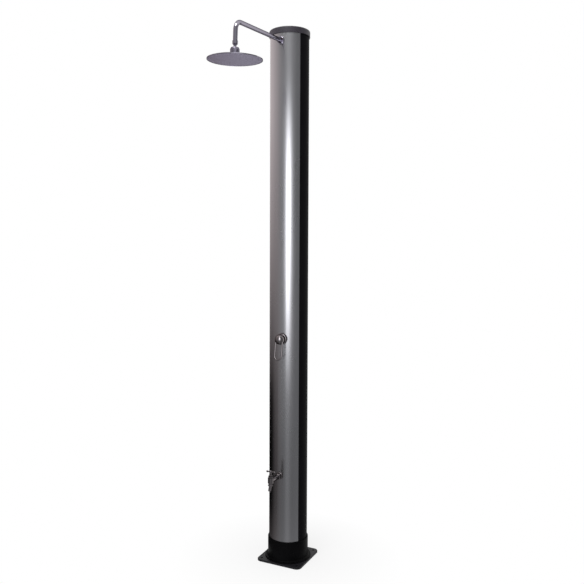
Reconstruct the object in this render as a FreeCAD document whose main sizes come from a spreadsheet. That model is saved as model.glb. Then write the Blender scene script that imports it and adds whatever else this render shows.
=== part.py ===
import FreeCAD, Part
import math
import os
from types import SimpleNamespace

import Sketcher
from FreeCAD import Placement, Rotation, Vector

# Outdoor shower post: a round column on a bolted foot, with an aluminium front panel,
# a shower arm with a rain head, a single-lever mixer and a foot-wash tap.
#
# Frame: the origin is on the ground, on the column's axis. +Z is up and the front is -Y.
# Lengths are in millimetres and angles in degrees. An azimuth turns a fitting round the
# column from the front towards +X.

# --------------------------------------------------------------------------- sizes

SIZES = {
    # foot
    "plate_side": 206,
    "plate_thickness": 8,
    "plate_corner_radius": 22,
    "plate_edge_round": 2,
    "bolt_spacing": 167,
    "bolt_hole_radius": 5.5,
    "locating_ring_radius": 60,
    "locating_ring_height": 3,
    "collar_height": 87,
    "collar_wall": 4.2,
    "collar_flange_radius": 99,
    "collar_flange_thickness": 4,
    "collar_floor_thickness": 5,
    "collar_foot_round": 6,
    "collar_top_round": 3,
    "collar_screw_height": 50,
    "collar_screw_azimuth": 150,
    "collar_screw_radius": 2.5,
    "collar_screw_head_radius": 5.5,
    "collar_screw_head_height": 3,
    "collar_screw_grip": 4,
    # column
    "post_radius": 82.5,
    "tank_wall": 6.5,
    "column_length": 2239,
    "panel_thickness": 1.8,
    "panel_seat_gap": 0.2,
    "panel_half_angle": 58,
    "panel_lip_depth": 2.4,
    "panel_lip_thickness": 1.8,
    "panel_joint_gap": 1.1,
    "sleeve_gap": 0.3,
    "end_plug_height": 26,
    "end_plug_floor": 6,
    "end_plug_wall": 8,
    "end_plug_gap": 0.1,
    "seal_radius": 1.75,
    "seal_land": 7,
    "cap_thickness": 4,
    "cap_skirt_drop": 21,
    "cap_skirt_wall": 3.4,
    "cap_spigot_drop": 8,
    "cap_spigot_wall": 3,
    "cap_edge_round": 5,
    # pipes inside the column
    "pipe_line_radius": 48,
    "pipe_radius": 7,
    "pipe_wall": 1.2,
    "pipe_socket_depth": 12,
    "pipe_socket_wall": 3.5,
    "pipe_fit": 0.05,
    "saddle_gap": 0.05,
    "wall_hole_gap": 0.3,
    # water inlet
    "inlet_height": 150,
    "inlet_thread_radius": 10.4,
    "inlet_thread_length": 14,
    "inlet_bore_radius": 6,
    "inlet_flange_radius": 17,
    "inlet_flange_thickness": 5,
    "inlet_feed_length": 12,
    "inlet_bend_radius": 32,
    # shower arm
    "arm_drop": 52.5,
    "arm_fall_angle": 3.85,
    "arm_reach": 327,
    "arm_radius": 8.5,
    "arm_wall": 1.5,
    "arm_bend_radius": 40,
    "arm_bend_angle": 82.6,
    "arm_tail": 50.5,
    "arm_entry": 18,
    "arm_rosette_radius": 15.5,
    "arm_rosette_height": 6,
    "arm_nut_radius": 11.5,
    "arm_nut_height": 13,
    "elbow_barrel_radius": 12,
    # ball joint of the head
    "ball_radius": 12,
    "neck_radius": 5.3,
    "ball_gap": 0.15,
    "seat_thickness": 2,
    "swivel_nut_wall": 3.1,
    "swivel_lip_angle": 56,
    "swivel_nut_drop": 20,
    "end_nut_start": 18,
    "end_nut_height": 17,
    "end_nut_radius": 10.2,
    # rain head
    "head_lean_side": 1.5,
    "head_lean_front": 1.4,
    "head_radius": 102.5,
    "head_drop": 35,
    "head_rim_height": 4,
    "head_dome_rise": 8.5,
    "head_shell_wall": 2,
    "head_hub_radius": 18,
    "head_inlet_radius": 6,
    "face_thickness": 1.2,
    "face_recess": 0.8,
    "face_rim": 1.8,
    "nozzle_radius": 1.5,
    "nozzle_tip_radius": 1.0,
    "nozzle_reach": 1.4,
    "nozzle_gap": 0.15,
    "nozzle_sheet": 1.5,
    "nozzle_ring_pitch": 22,
    # mixer
    "mixer_height": 966,
    "mixer_azimuth": 6,
    "mixer_hole_radius": 18,
    "mixer_body_back": 50,
    "mixer_port_pitch": 22,
    "mixer_port_reach": 34,
    "cartridge_radius": 15,
    "cartridge_length": 30,
    "cartridge_nut_height": 7,
    "escutcheon_radius": 24,
    "escutcheon_height": 12,
    "escutcheon_round": 3,
    "lever_pivot_reach": 26,
    "lever_ball_radius": 20.5,
    "lever_ball_back": 11,
    "lever_cavity_radius": 12.5,
    "lever_cavity_depth": 19,
    "lever_pin_radius": 2,
    "lever_pin_fit": 0.05,
    "lever_boss_radius": 4.5,
    "stalk_radius": 5.5,
    "stalk_side_gap": 0.3,
    "loop_half_width": 15,
    "loop_rod_radius": 3,
    "loop_out": 6,
    "loop_top": 4,
    "loop_length": 64,
    "loop_lean": 11,
    "index_radius": 3.5,
    "index_depth": 2,
    # foot-wash tap
    "tap_height": 382,
    "tap_azimuth": 0,
    "tap_tail_radius": 10.4,
    "tap_barrel_radius": 9.5,
    "tap_rosette_radius": 15.5,
    "tap_rosette_height": 8,
    "tap_reach": 80.5,
    "tap_chamber_radius": 12,
    "tap_chamber_top": 15,
    "tap_chamber_bottom": 9,
    "tap_seat_radius": 8,
    "tap_seat_depth": 19,
    "bonnet_radius": 10,
    "bonnet_hex_height": 7,
    "bonnet_neck_height": 6,
    "bonnet_neck_radius": 7,
    "spindle_radius": 3.5,
    "spindle_gap": 0.08,
    "ceramic_radius": 7.6,
    "ceramic_height": 4,
    "handle_height": 40,
    "handle_hub_radius": 6,
    "handle_hub_height": 11,
    "handle_bar_radius": 2.6,
    "handle_half_length": 16,
    "handle_ball_radius": 4.2,
    "spout_radius": 7,
    "spout_bore_radius": 4,
    "spout_drop": 4,
    "spout_lean": 18,
    "spout_bend_radius": 20,
    "spout_tail": 6.5,
    "ring_nut_radius": 10,
    "ring_nut_height": 7,
    "nozzle_tail_radius": 6,
    "nozzle_tail_length": 20.5,
}


class Size:
    """A value of the sheet, or a formula of such values, with the text that binds it."""

    def __init__(self, text, value):
        self.text = text
        self.value = value

    def __add__(self, other):
        other = as_size(other)
        return Size("(%s + %s)" % (self.text, other.text), self.value + other.value)

    def __sub__(self, other):
        other = as_size(other)
        return Size("(%s - %s)" % (self.text, other.text), self.value - other.value)

    def __mul__(self, other):
        other = as_size(other)
        return Size("(%s * %s)" % (self.text, other.text), self.value * other.value)

    def __truediv__(self, other):
        other = as_size(other)
        return Size("(%s / %s)" % (self.text, other.text), self.value / other.value)

    def __neg__(self):
        return Size("(0 - %s)" % self.text, -self.value)

    def __radd__(self, other):
        return as_size(other) + self

    def __rsub__(self, other):
        return as_size(other) - self

    def __rmul__(self, other):
        return as_size(other) * self


def as_size(thing):
    """Give a plain number the same form as a value of the sheet."""
    if isinstance(thing, Size):
        return thing
    return Size(repr(thing), float(thing))


def sine(angle):
    return Size("sin(%s)" % angle.text, math.sin(math.radians(angle.value)))


def cosine(angle):
    return Size("cos(%s)" % angle.text, math.cos(math.radians(angle.value)))


def tangent(angle):
    return Size("tan(%s)" % angle.text, math.tan(math.radians(angle.value)))


def root(number):
    return Size("sqrt(%s)" % number.text, math.sqrt(number.value))


doc = FreeCAD.newDocument("outdoor_shower_post")


def write_sheet():
    """Put every driving dimension into the spreadsheet under its own alias."""
    sheet = doc.addObject("Spreadsheet::Sheet", "sizes")
    for row, (name, value) in enumerate(SIZES.items(), start=1):
        sheet.set("A%d" % row, name.replace("_", " "))
        sheet.set("B%d" % row, str(value))
        sheet.setAlias("B%d" % row, name)
    doc.recompute()
    named = {name: Size("sizes." + name, float(value)) for name, value in SIZES.items()}
    return SimpleNamespace(**named)


s = write_sheet()

DEGREES = 180 / math.pi
OVERSHOOT = 5

# places that several pieces share
column_bottom = s.plate_thickness + s.collar_floor_thickness
column_top = column_bottom + s.column_length
arm_height = column_top - s.arm_drop
tank_radius = s.post_radius - s.tank_wall
pipe_bore = s.pipe_radius - s.pipe_wall
socket_radius = s.pipe_radius + s.pipe_socket_wall
pivot_reach = s.post_radius + s.lever_pivot_reach
chamber_reach = s.post_radius + s.tap_reach
seat_outer_radius = s.ball_radius + s.ball_gap + s.seat_thickness
nut_sphere_radius = seat_outer_radius + s.ball_gap
swivel_nut_radius = nut_sphere_radius + s.swivel_nut_wall
head_boss_radius = nut_sphere_radius - s.ball_gap
arm_tail_lean = 90 - s.arm_fall_angle - s.arm_bend_angle
pipe_line = s.pipe_line_radius

pieces = {}


# --------------------------------------------------------------------------- helpers

def bind(thing, prop, size):
    """Tie a property to the sheet."""
    thing.setExpression(prop, as_size(size).text)


def place(thing, base=(0, 0, 0), rotation=None):
    """Put an object at a place that the sheet sets, turned by a rotation."""
    base = [as_size(size) for size in base]
    thing.Placement = Placement(Vector(*[size.value for size in base]), rotation or Rotation())
    for letter, size in zip("xyz", base):
        bind(thing, "Placement.Base." + letter, size)


def facing(azimuth):
    """Turn a piece's own +Z outwards at an azimuth of the column, with its +Y up."""
    return Rotation(Vector(0, 0, 1), azimuth.value) * Rotation(Vector(1, 0, 0), 90)


def outwards(reach, azimuth):
    """The x and y of a point at a reach from the column's axis."""
    return reach * sine(azimuth), -(reach * cosine(azimuth))


def keep(thing, name):
    """Label a finished sub-part and list it for the export."""
    thing.Label = name
    pieces[name] = thing
    return thing


def new_body(name):
    return doc.addObject("PartDesign::Body", name + "_body")


def sketch_on(body, role, name, lift=0):
    """A sketch on one of the body's own origin planes, or at a height over it."""
    sketch = body.newObject("Sketcher::SketchObject", name)
    plane = next(item for item in body.Origin.OriginFeatures if item.Role == role)
    sketch.AttachmentSupport = [(plane, "")]
    sketch.MapMode = "FlatFace"
    sketch.AttachmentOffset = Placement(Vector(0, 0, as_size(lift).value), Rotation())
    bind(sketch, "AttachmentOffset.Base.z", lift)
    return sketch


def hold(sketch, geometry, end, x=None, y=None):
    """Hold a point of a sketch at x and y from the sketch's origin."""
    for kind, size, axis in (("DistanceX", x, -2), ("DistanceY", y, -1)):
        if size is None:
            continue
        size = as_size(size)
        if abs(size.value) < 1e-9:
            sketch.addConstraint(Sketcher.Constraint("PointOnObject", geometry, end, axis))
        elif size.value > 0:
            index = sketch.addConstraint(Sketcher.Constraint(kind, -1, 1, geometry, end, size.value))
            sketch.setExpression("Constraints[%d]" % index, size.text)
        else:
            index = sketch.addConstraint(Sketcher.Constraint(kind, geometry, end, -1, 1, -size.value))
            sketch.setExpression("Constraints[%d]" % index, (-size).text)


def fix_radius(sketch, geometry, radius):
    radius = as_size(radius)
    index = sketch.addConstraint(Sketcher.Constraint("Radius", geometry, radius.value))
    sketch.setExpression("Constraints[%d]" % index, radius.text)


def sketch_line(sketch, start, end):
    """A straight line between two points of a sketch."""
    ends = [Vector(as_size(x).value, as_size(y).value, 0) for x, y in (start, end)]
    return sketch.addGeometry(Part.LineSegment(*ends))


def sketch_arc(sketch, centre, radius, start, end):
    """The shorter arc between two points. Gives its number and which of its ends lie at the points."""
    x, y = [as_size(size).value for size in centre]
    angles = [math.atan2(as_size(b).value - y, as_size(a).value - x) for a, b in (start, end)]
    turn = (angles[1] - angles[0]) % (2 * math.pi)
    forward = turn < math.pi + 0.01
    if not forward:
        angles.reverse()
        turn = 2 * math.pi - turn
    circle = Part.Circle(Vector(x, y, 0), Vector(0, 0, 1), as_size(radius).value)
    arc = sketch.addGeometry(Part.ArcOfCircle(circle, angles[0], angles[0] + turn))
    return (arc, 1, 2) if forward else (arc, 2, 1)


def join(sketch, *pairs):
    """Make pairs of geometry ends meet."""
    for pair in pairs:
        sketch.addConstraint(Sketcher.Constraint("Coincident", *pair))


def add_outline(sketch, corners, rounds=None):
    """A closed outline with each corner held at its x and y.

    rounds gives the centre and radius of each side that is an arc, by the side's first corner.
    """
    rounds = rounds or {}
    sides = []
    for index, start in enumerate(corners):
        end = corners[(index + 1) % len(corners)]
        if index in rounds:
            centre, radius = rounds[index]
            sides.append(sketch_arc(sketch, centre, radius, start, end))
        else:
            sides.append((sketch_line(sketch, start, end), 1, 2))
    for index, (side, first, last) in enumerate(sides):
        after, after_first, _ = sides[(index + 1) % len(sides)]
        join(sketch, (side, last, after, after_first))
    for (side, first, _), (x, y) in zip(sides, corners):
        hold(sketch, side, first, x, y)
    for index, (centre, radius) in rounds.items():
        fix_radius(sketch, sides[index][0], radius)


def add_circle(sketch, x, y, radius):
    x, y, radius = as_size(x), as_size(y), as_size(radius)
    circle = sketch.addGeometry(Part.Circle(Vector(x.value, y.value, 0), Vector(0, 0, 1), radius.value))
    hold(sketch, circle, 3, x, y)
    fix_radius(sketch, circle, radius)


def turn_solid(body, corners, name="Turned", rounds=None, axis="V_Axis"):
    """Turn an outline about the body's Z axis, or with H_Axis about its X axis."""
    sketch = sketch_on(body, "XZ_Plane", name + "Outline")
    add_outline(sketch, corners, rounds)
    turned = body.newObject("PartDesign::Revolution", name)
    turned.Profile = sketch
    turned.ReferenceAxis = (sketch, [axis])
    turned.Angle = 360
    return turned


def turn_hollow(body, corners, name, rounds=None):
    """Cut an outline, turned about the body's Z axis, out of the body."""
    doc.recompute()
    volume = body.Tip.Shape.Volume
    sketch = sketch_on(body, "XZ_Plane", name + "Outline")
    add_outline(sketch, corners, rounds)
    groove = body.newObject("PartDesign::Groove", name)
    groove.Profile = sketch
    groove.ReferenceAxis = (sketch, ["V_Axis"])
    groove.Angle = 360
    doc.recompute()
    if not groove.Shape.Volume < volume:
        raise ValueError("%s cuts nothing" % name)
    return groove


def add_route(sketch, runs, bends):
    """Straight runs held at both ends, with a bend of a given centre and radius after each one."""
    lines = [sketch_line(sketch, start, end) for start, end in runs]
    for line, (start, end) in zip(lines, runs):
        hold(sketch, line, 1, *start)
        hold(sketch, line, 2, *end)
    for number, (centre, radius) in enumerate(bends):
        before, after = runs[number][1], runs[number + 1][0]
        arc, first, last = sketch_arc(sketch, centre, radius, before, after)
        join(sketch, (lines[number], 2, arc, first), (arc, last, lines[number + 1], 1))
        if as_size(before[1] - after[1]).value == 0:
            hold(sketch, arc, 3, None, centre[1])
        else:
            fix_radius(sketch, arc, radius)


def pad(body, sketch, length, name, both_ways=False):
    padded = body.newObject("PartDesign::Pad", name)
    padded.Profile = sketch
    bind(padded, "Length", length)
    if both_ways:
        padded.Midplane = True
    return padded


def through_cut(body, sketch, length, name):
    """Cut a sketch out of the body to both sides of its plane."""
    doc.recompute()
    volume = body.Tip.Shape.Volume
    pocket = body.newObject("PartDesign::Pocket", name)
    pocket.Profile = sketch
    pocket.Midplane = True
    bind(pocket, "Length", length)
    doc.recompute()
    if not pocket.Shape.Volume < volume:
        raise ValueError("%s cuts nothing" % name)
    return pocket


def soften(body, kind, size, choose, name):
    """Round or bevel the edges of the body that a test picks."""
    doc.recompute()
    base = body.Tip
    names = ["Edge%d" % number for number, edge in enumerate(base.Shape.Edges, start=1) if choose(edge)]
    if not names:
        raise ValueError("no edge for " + name)
    soft = body.newObject("PartDesign::" + kind, name)
    soft.Base = (base, names)
    bind(soft, "Radius" if kind == "Fillet" else "Size", size)
    return soft


def ring_edge(radius, height):
    """A test for the round edge of a turned piece at a radius and a height of its own axis."""
    radius, height = as_size(radius).value, as_size(height).value

    def choose(edge):
        curve = edge.Curve
        if not isinstance(curve, Part.Circle) or abs(curve.Radius - radius) > 0.01:
            return False
        return abs(curve.Center.z - height) < 0.01 and math.hypot(curve.Center.x, curve.Center.y) < 0.01

    return choose


def add_rod(body, radius, length, base, direction, name, cut=False):
    """Add or cut a round rod from a base point of the body along a direction."""
    kind = "PartDesign::SubtractiveCylinder" if cut else "PartDesign::AdditiveCylinder"
    rod = body.newObject(kind, name)
    bind(rod, "Radius", radius)
    bind(rod, "Height", length)
    base = [as_size(size) for size in base]
    rod.AttachmentSupport = [(body.Origin.OriginFeatures[0], "")]
    rod.MapMode = "Deactivated"
    rod.Placement = Placement(Vector(*[size.value for size in base]), Rotation(Vector(0, 0, 1), direction))
    for letter, size in zip("xyz", base):
        bind(rod, "Placement.Base." + letter, size)
    return rod


def sweep(body, profile, spine, name):
    """Sweep a profile along every edge of a spine sketch."""
    doc.recompute()
    swept = body.newObject("PartDesign::AdditivePipe", name)
    swept.Profile = profile
    edges = ["Edge%d" % number for number in range(1, len(spine.Shape.Edges) + 1)]
    swept.Spine = (spine, edges)
    return swept


def cylinder(name, radius, height, base=(0, 0, 0), rotation=None, angle=360):
    solid = doc.addObject("Part::Cylinder", name)
    bind(solid, "Radius", radius)
    bind(solid, "Height", height)
    bind(solid, "Angle", angle)
    place(solid, base, rotation)
    return solid


def fuse(name, solids):
    joined = doc.addObject("Part::MultiFuse", name)
    joined.Shapes = solids
    return joined


def cut(name, base, tools):
    """Cut one or more tools out of a base."""
    result = doc.addObject("Part::Cut", name)
    result.Base = base
    result.Tool = tools[0] if len(tools) == 1 else fuse(name + "_tools", tools)
    return result


def wall_hole(name, radius, azimuth, height, start, length):
    """A round tool that points outwards through the column's wall."""
    x, y = outwards(as_size(start), azimuth)
    return cylinder(name, radius, length, (x, y, height), facing(azimuth))


def ring_sector(name, inner, outer, start_angle, sweep_angle, base_height, height):
    """Part of a ring round the column's axis. Angles start at the front and grow towards +X."""
    turn = Rotation(Vector(0, 0, 1), start_angle.value - 90)
    whole = cylinder(name + "_outer", outer, height, (0, 0, base_height), turn, sweep_angle)
    hollow = cylinder(name + "_inner", inner, height, (0, 0, base_height))
    return cut(name, whole, [hollow])


# --------------------------------------------------------------------------- foot

def make_base_plate():
    """Square plate with round corners, four bolt holes and a ring that centres the collar."""
    body = new_body("base_plate")
    half = s.plate_side / 2
    outline = sketch_on(body, "XY_Plane", "PlateOutline")
    add_outline(outline, [(-half, -half), (half, -half), (half, half), (-half, half)])
    pad(body, outline, s.plate_thickness, "Plate")
    soften(body, "Fillet", s.plate_corner_radius,
           lambda edge: abs(edge.tangentAt(edge.FirstParameter).z) > 0.99, "PlateCorners")
    soften(body, "Fillet", s.plate_edge_round,
           lambda edge: edge.BoundBox.ZMin > s.plate_thickness.value - 0.01, "PlateEdge")
    ring = sketch_on(body, "XY_Plane", "RingOutline")
    add_circle(ring, 0, 0, s.locating_ring_radius - s.sleeve_gap)
    pad(body, ring, s.plate_thickness + s.locating_ring_height, "LocatingRing")
    hole = sketch_on(body, "XY_Plane", "BoltHoleOutline")
    add_circle(hole, s.bolt_spacing / 2, s.bolt_spacing / 2, s.bolt_hole_radius)
    pocket = through_cut(body, hole, 4 * s.plate_thickness, "BoltHole")
    holes = body.newObject("PartDesign::PolarPattern", "BoltHoles")
    holes.Originals = [pocket]
    holes.Axis = (outline, ["N_Axis"])
    holes.Angle = 360
    holes.Occurrences = 4
    body.Tip = holes
    keep(body, "base_plate")


def collar_screw_turns():
    """The two collar screws stand on both sides of the column's back."""
    return s.collar_screw_azimuth, -s.collar_screw_azimuth


def make_base_collar():
    """Flanged sleeve that the column stands in."""
    body = new_body("base_collar")
    inner = s.post_radius + s.sleeve_gap
    outer = inner + s.collar_wall
    ring = s.locating_ring_radius
    turn_solid(body, [
        (ring, 0),
        (s.collar_flange_radius, 0),
        (s.collar_flange_radius, s.collar_flange_thickness),
        (outer, s.collar_flange_thickness),
        (outer, s.collar_height),
        (inner, s.collar_height),
        (inner, s.collar_floor_thickness),
        (ring, s.collar_floor_thickness),
    ])
    soften(body, "Fillet", s.collar_foot_round, ring_edge(outer, s.collar_flange_thickness), "FootRound")
    soften(body, "Fillet", s.collar_top_round, ring_edge(outer, s.collar_height), "TopRound")
    soften(body, "Fillet", s.collar_flange_thickness / 3,
           ring_edge(s.collar_flange_radius, s.collar_flange_thickness), "FlangeRound")
    for number, azimuth in enumerate(collar_screw_turns(), start=1):
        x, y = outwards(s.post_radius, azimuth)
        direction = facing(azimuth).multVec(Vector(0, 0, 1))
        base = (x, y, s.collar_screw_height)
        add_rod(body, s.collar_screw_radius + s.pipe_fit, s.collar_wall + OVERSHOOT, base, direction,
                "ScrewHole%d" % number, cut=True)
    place(body, (0, 0, s.plate_thickness))
    keep(body, "base_collar")


def make_collar_screws():
    """Two round-headed screws that hold the column in the collar."""
    screws = []
    shank = s.collar_screw_grip + s.sleeve_gap + s.collar_wall
    face = s.post_radius + s.sleeve_gap + s.collar_wall
    height = s.plate_thickness + s.collar_screw_height
    for number, azimuth in enumerate(collar_screw_turns(), start=1):
        pin = wall_hole("screw_shank_%d" % number, s.collar_screw_radius, azimuth, height,
                        s.post_radius - s.collar_screw_grip, shank)
        head = doc.addObject("Part::Cone", "screw_head_%d" % number)
        bind(head, "Radius1", s.collar_screw_head_radius)
        bind(head, "Radius2", s.collar_screw_head_radius * 0.6)
        bind(head, "Height", s.collar_screw_head_height)
        x, y = outwards(face, azimuth)
        place(head, (x, y, height), facing(azimuth))
        screws.append(fuse("screw_%d" % number, [pin, head]))
    group = doc.addObject("Part::Compound", "screws")
    group.Links = screws
    keep(group, "collar_screws")


# --------------------------------------------------------------------------- column

def fitting_holes(prefix, gap):
    """Round tools for everything that passes through the column's front wall."""
    start = tank_radius - OVERSHOOT
    length = s.tank_wall + 2 * OVERSHOOT
    front = as_size(0)
    return [
        wall_hole(prefix + "_arm_hole", s.arm_nut_radius - 1 + gap, front, arm_height, start, length),
        wall_hole(prefix + "_mixer_hole", s.mixer_hole_radius + gap, s.mixer_azimuth, s.mixer_height,
                  start, length),
        wall_hole(prefix + "_tap_hole", s.tap_tail_radius + gap, s.tap_azimuth, s.tap_height, start, length),
    ]


def make_tank_column():
    """Extruded tank: a thick tube with a sunk seat and two slots for the front panel."""
    groove_angle = s.panel_joint_gap / s.post_radius * DEGREES
    lip_angle = (s.panel_lip_thickness + 2 * s.panel_seat_gap) / s.post_radius * DEGREES
    half = s.panel_half_angle + groove_angle
    seat = s.post_radius - s.panel_thickness - s.panel_seat_gap
    slot_floor = seat - s.panel_lip_depth
    outside = s.post_radius + OVERSHOOT
    outer = cylinder("tank_outer", s.post_radius, s.column_length, (0, 0, column_bottom))
    slot_turn = lip_angle + groove_angle
    tools = [
        cylinder("tank_bore", tank_radius, s.column_length, (0, 0, column_bottom)),
        ring_sector("panel_seat", seat, outside, -half, 2 * half, column_bottom, s.column_length),
        ring_sector("left_slot", slot_floor, outside, -half, slot_turn, column_bottom, s.column_length),
        ring_sector("right_slot", slot_floor, outside, half - slot_turn, slot_turn, column_bottom,
                    s.column_length),
        wall_hole("inlet_hole", s.inlet_thread_radius + s.wall_hole_gap, as_size(180), s.inlet_height,
                  tank_radius - OVERSHOOT, s.tank_wall + 2 * OVERSHOOT),
    ]
    tools += fitting_holes("tank", s.wall_hole_gap)
    for number, azimuth in enumerate(collar_screw_turns(), start=1):
        tools.append(wall_hole("tank_screw_%d" % number, s.collar_screw_radius + s.pipe_fit, azimuth,
                               s.plate_thickness + s.collar_screw_height,
                               s.post_radius - s.collar_screw_grip - s.panel_seat_gap,
                               s.collar_screw_grip + OVERSHOOT))
    keep(cut("tank_column_solid", outer, tools), "tank_column")


def make_front_panel():
    """Anodised sheet rolled to the column's radius, with a lip turned in along each edge."""
    lip_angle = s.panel_lip_thickness / s.post_radius * DEGREES
    half = s.panel_half_angle
    inner = s.post_radius - s.panel_thickness
    lip_inner = inner - s.panel_lip_depth
    sheet_sector = ring_sector("panel_sheet", inner, s.post_radius, -half, 2 * half, column_bottom,
                               s.column_length)
    left = ring_sector("left_lip", lip_inner, s.post_radius, -half, lip_angle, column_bottom,
                       s.column_length)
    right = ring_sector("right_lip", lip_inner, s.post_radius, half - lip_angle, lip_angle,
                        column_bottom, s.column_length)
    joined = fuse("panel_joined", [sheet_sector, left, right])
    joined.Refine = True
    keep(cut("front_panel_solid", joined, fitting_holes("panel", s.wall_hole_gap)), "front_panel")


def make_end_plug(name, height, upwards):
    """Cup that closes one end of the tank, with a groove for its seal."""
    body = new_body(name)
    rim = tank_radius - s.end_plug_gap
    groove = rim - 2 * s.seal_radius
    low = s.seal_land
    high = s.seal_land + 2 * s.seal_radius + s.end_plug_gap
    turn_solid(body, [
        (0, 0),
        (rim, 0),
        (rim, low),
        (groove, low),
        (groove, high),
        (rim, high),
        (rim, s.end_plug_height),
        (rim - s.end_plug_wall, s.end_plug_height),
        (rim - s.end_plug_wall, s.end_plug_floor),
        (0, s.end_plug_floor),
    ])
    place(body, (0, 0, height), Rotation() if upwards else Rotation(Vector(1, 0, 0), 180))
    keep(body, name)


def make_seal(name, height):
    """Round sealing ring between an end plug and the tank's bore."""
    ring = doc.addObject("Part::Torus", name + "_ring")
    bind(ring, "Radius1", tank_radius - s.end_plug_gap - s.seal_radius)
    bind(ring, "Radius2", s.seal_radius)
    place(ring, (0, 0, height))
    keep(ring, name)


def make_ends():
    """Plugs and seals at both ends of the tank."""
    seal_step = s.seal_land + s.seal_radius + s.end_plug_gap / 2
    lower = column_bottom + s.end_plug_height
    upper = column_top - s.end_plug_height - s.cap_spigot_drop
    make_end_plug("bottom_plug", lower, False)
    make_seal("bottom_seal", lower - seal_step)
    make_end_plug("top_plug", upper, True)
    make_seal("top_seal", upper + seal_step)


def make_top_cap():
    """Round cap over the column's top end, with a skirt outside and a spigot inside."""
    body = new_body("top_cap")
    skirt = s.post_radius + s.sleeve_gap
    spigot = tank_radius - s.sleeve_gap
    turn_solid(body, [
        (0, 0),
        (spigot - s.cap_spigot_wall, 0),
        (spigot - s.cap_spigot_wall, -s.cap_spigot_drop),
        (spigot, -s.cap_spigot_drop),
        (spigot, 0),
        (skirt, 0),
        (skirt, -s.cap_skirt_drop),
        (skirt + s.cap_skirt_wall, -s.cap_skirt_drop),
        (skirt + s.cap_skirt_wall, s.cap_thickness),
        (0, s.cap_thickness),
    ])
    soften(body, "Fillet", s.cap_edge_round, ring_edge(skirt + s.cap_skirt_wall, s.cap_thickness), "TopRound")
    place(body, (0, 0, column_top))
    keep(body, "top_cap")


# --------------------------------------------------------------------------- pipes

def make_straight_pipe(name, x, y, low, high):
    """Upright pipe between two sockets."""
    body = new_body(name)
    ring = sketch_on(body, "XY_Plane", "Section")
    add_circle(ring, 0, 0, s.pipe_radius)
    add_circle(ring, 0, 0, pipe_bore)
    pad(body, ring, high - low, "Pipe")
    place(body, (x, y, low))
    keep(body, name)


def make_inlet_fitting():
    """Threaded inlet in the column's back: it feeds the tank through a cross hole and the cold pipe."""
    body = new_body("inlet_fitting")
    flange = s.post_radius + s.saddle_gap + s.inlet_flange_thickness
    end = flange + s.inlet_thread_length
    turn_solid(body, [
        (0, s.post_radius - s.inlet_flange_thickness),
        (s.inlet_flange_radius, s.post_radius - s.inlet_flange_thickness),
        (s.inlet_flange_radius, flange),
        (s.inlet_thread_radius, flange),
        (s.inlet_thread_radius, end - 1),
        (s.inlet_thread_radius - 1, end),
        (0, end),
    ])
    cut_saddle(body, s.inlet_flange_radius)
    inside = tank_radius - s.inlet_feed_length - s.pipe_socket_depth
    add_rod(body, s.inlet_thread_radius, s.post_radius + 1 - inside, (0, 0, inside), Vector(0, 0, 1), "Spigot")
    add_rod(body, s.inlet_bore_radius, 2 * s.post_radius, (0, 0, inside), Vector(0, 0, 1), "Bore", cut=True)
    add_rod(body, s.pipe_radius + s.pipe_fit, s.pipe_socket_depth + OVERSHOOT, (0, 0, inside - OVERSHOOT),
            Vector(0, 0, 1), "PipeSocket", cut=True)
    half = s.inlet_flange_radius
    add_rod(body, s.inlet_bore_radius / 2, 2 * half, (0, -half, tank_radius - s.inlet_feed_length / 2),
            Vector(0, 1, 0), "TankFeed", cut=True)
    place(body, (0, 0, s.inlet_height), facing(as_size(180)))
    keep(body, "inlet_fitting")


def cut_saddle(body, radius):
    """Cut the back of a turned piece to the column's round face."""
    doc.recompute()
    outline = sketch_on(body, "XZ_Plane", "ColumnOutline")
    add_circle(outline, 0, 0, s.post_radius + s.saddle_gap)
    through_cut(body, outline, 4 * radius, "ColumnSaddle")


def make_cold_pipe(tee_bottom):
    """Bent pipe from the inlet, across the tank and up to the tee."""
    body = new_body("cold_pipe")
    start = tank_radius - s.inlet_feed_length - s.pipe_fit
    x, y = as_size(0), -(pipe_line / cosine(s.mixer_azimuth))
    across = start - y - s.inlet_bend_radius
    rise = tee_bottom + s.pipe_socket_depth - s.inlet_height - s.inlet_bend_radius
    spine = sketch_on(body, "YZ_Plane", "Route")
    bend = s.inlet_bend_radius
    add_route(spine, [((0, 0), (0, across)), ((bend, across + bend), (bend + rise, across + bend))],
              [((bend, across), bend)])
    ring = sketch_on(body, "XY_Plane", "Section")
    add_circle(ring, 0, 0, s.pipe_radius)
    add_circle(ring, 0, 0, pipe_bore)
    sweep(body, ring, spine, "Pipe")
    place(body, (x, start, s.inlet_height), Rotation(Vector(1, 0, 0), 90))
    keep(body, "cold_pipe")


def make_pipes():
    """The four pipes inside the tank, between the sockets of the fittings."""
    reach = pipe_line / cosine(s.mixer_azimuth)
    depth = s.pipe_socket_depth
    tee_low = s.tap_height - s.tap_tail_radius - s.pipe_socket_wall - depth
    tee_high = s.tap_height + s.tap_tail_radius + s.pipe_socket_wall + depth
    port_low = s.mixer_height - s.mixer_port_reach
    port_high = s.mixer_height + s.mixer_port_reach
    elbow_low = arm_height - s.elbow_barrel_radius - depth
    make_cold_pipe(tee_low)
    make_straight_pipe("mixer_feed_pipe", 0, -reach, tee_high - depth, port_low + depth)
    make_straight_pipe("riser_pipe", 0, -reach, port_high - depth, elbow_low + depth)
    hot_x = s.mixer_port_pitch * cosine(s.mixer_azimuth)
    hot_y = -reach + s.mixer_port_pitch * sine(s.mixer_azimuth)
    hot_top = column_top - s.end_plug_height - s.cap_spigot_drop - 2 * s.pipe_radius
    make_straight_pipe("hot_pipe", hot_x, hot_y, port_high - depth, hot_top)


# --------------------------------------------------------------------------- shower arm

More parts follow.
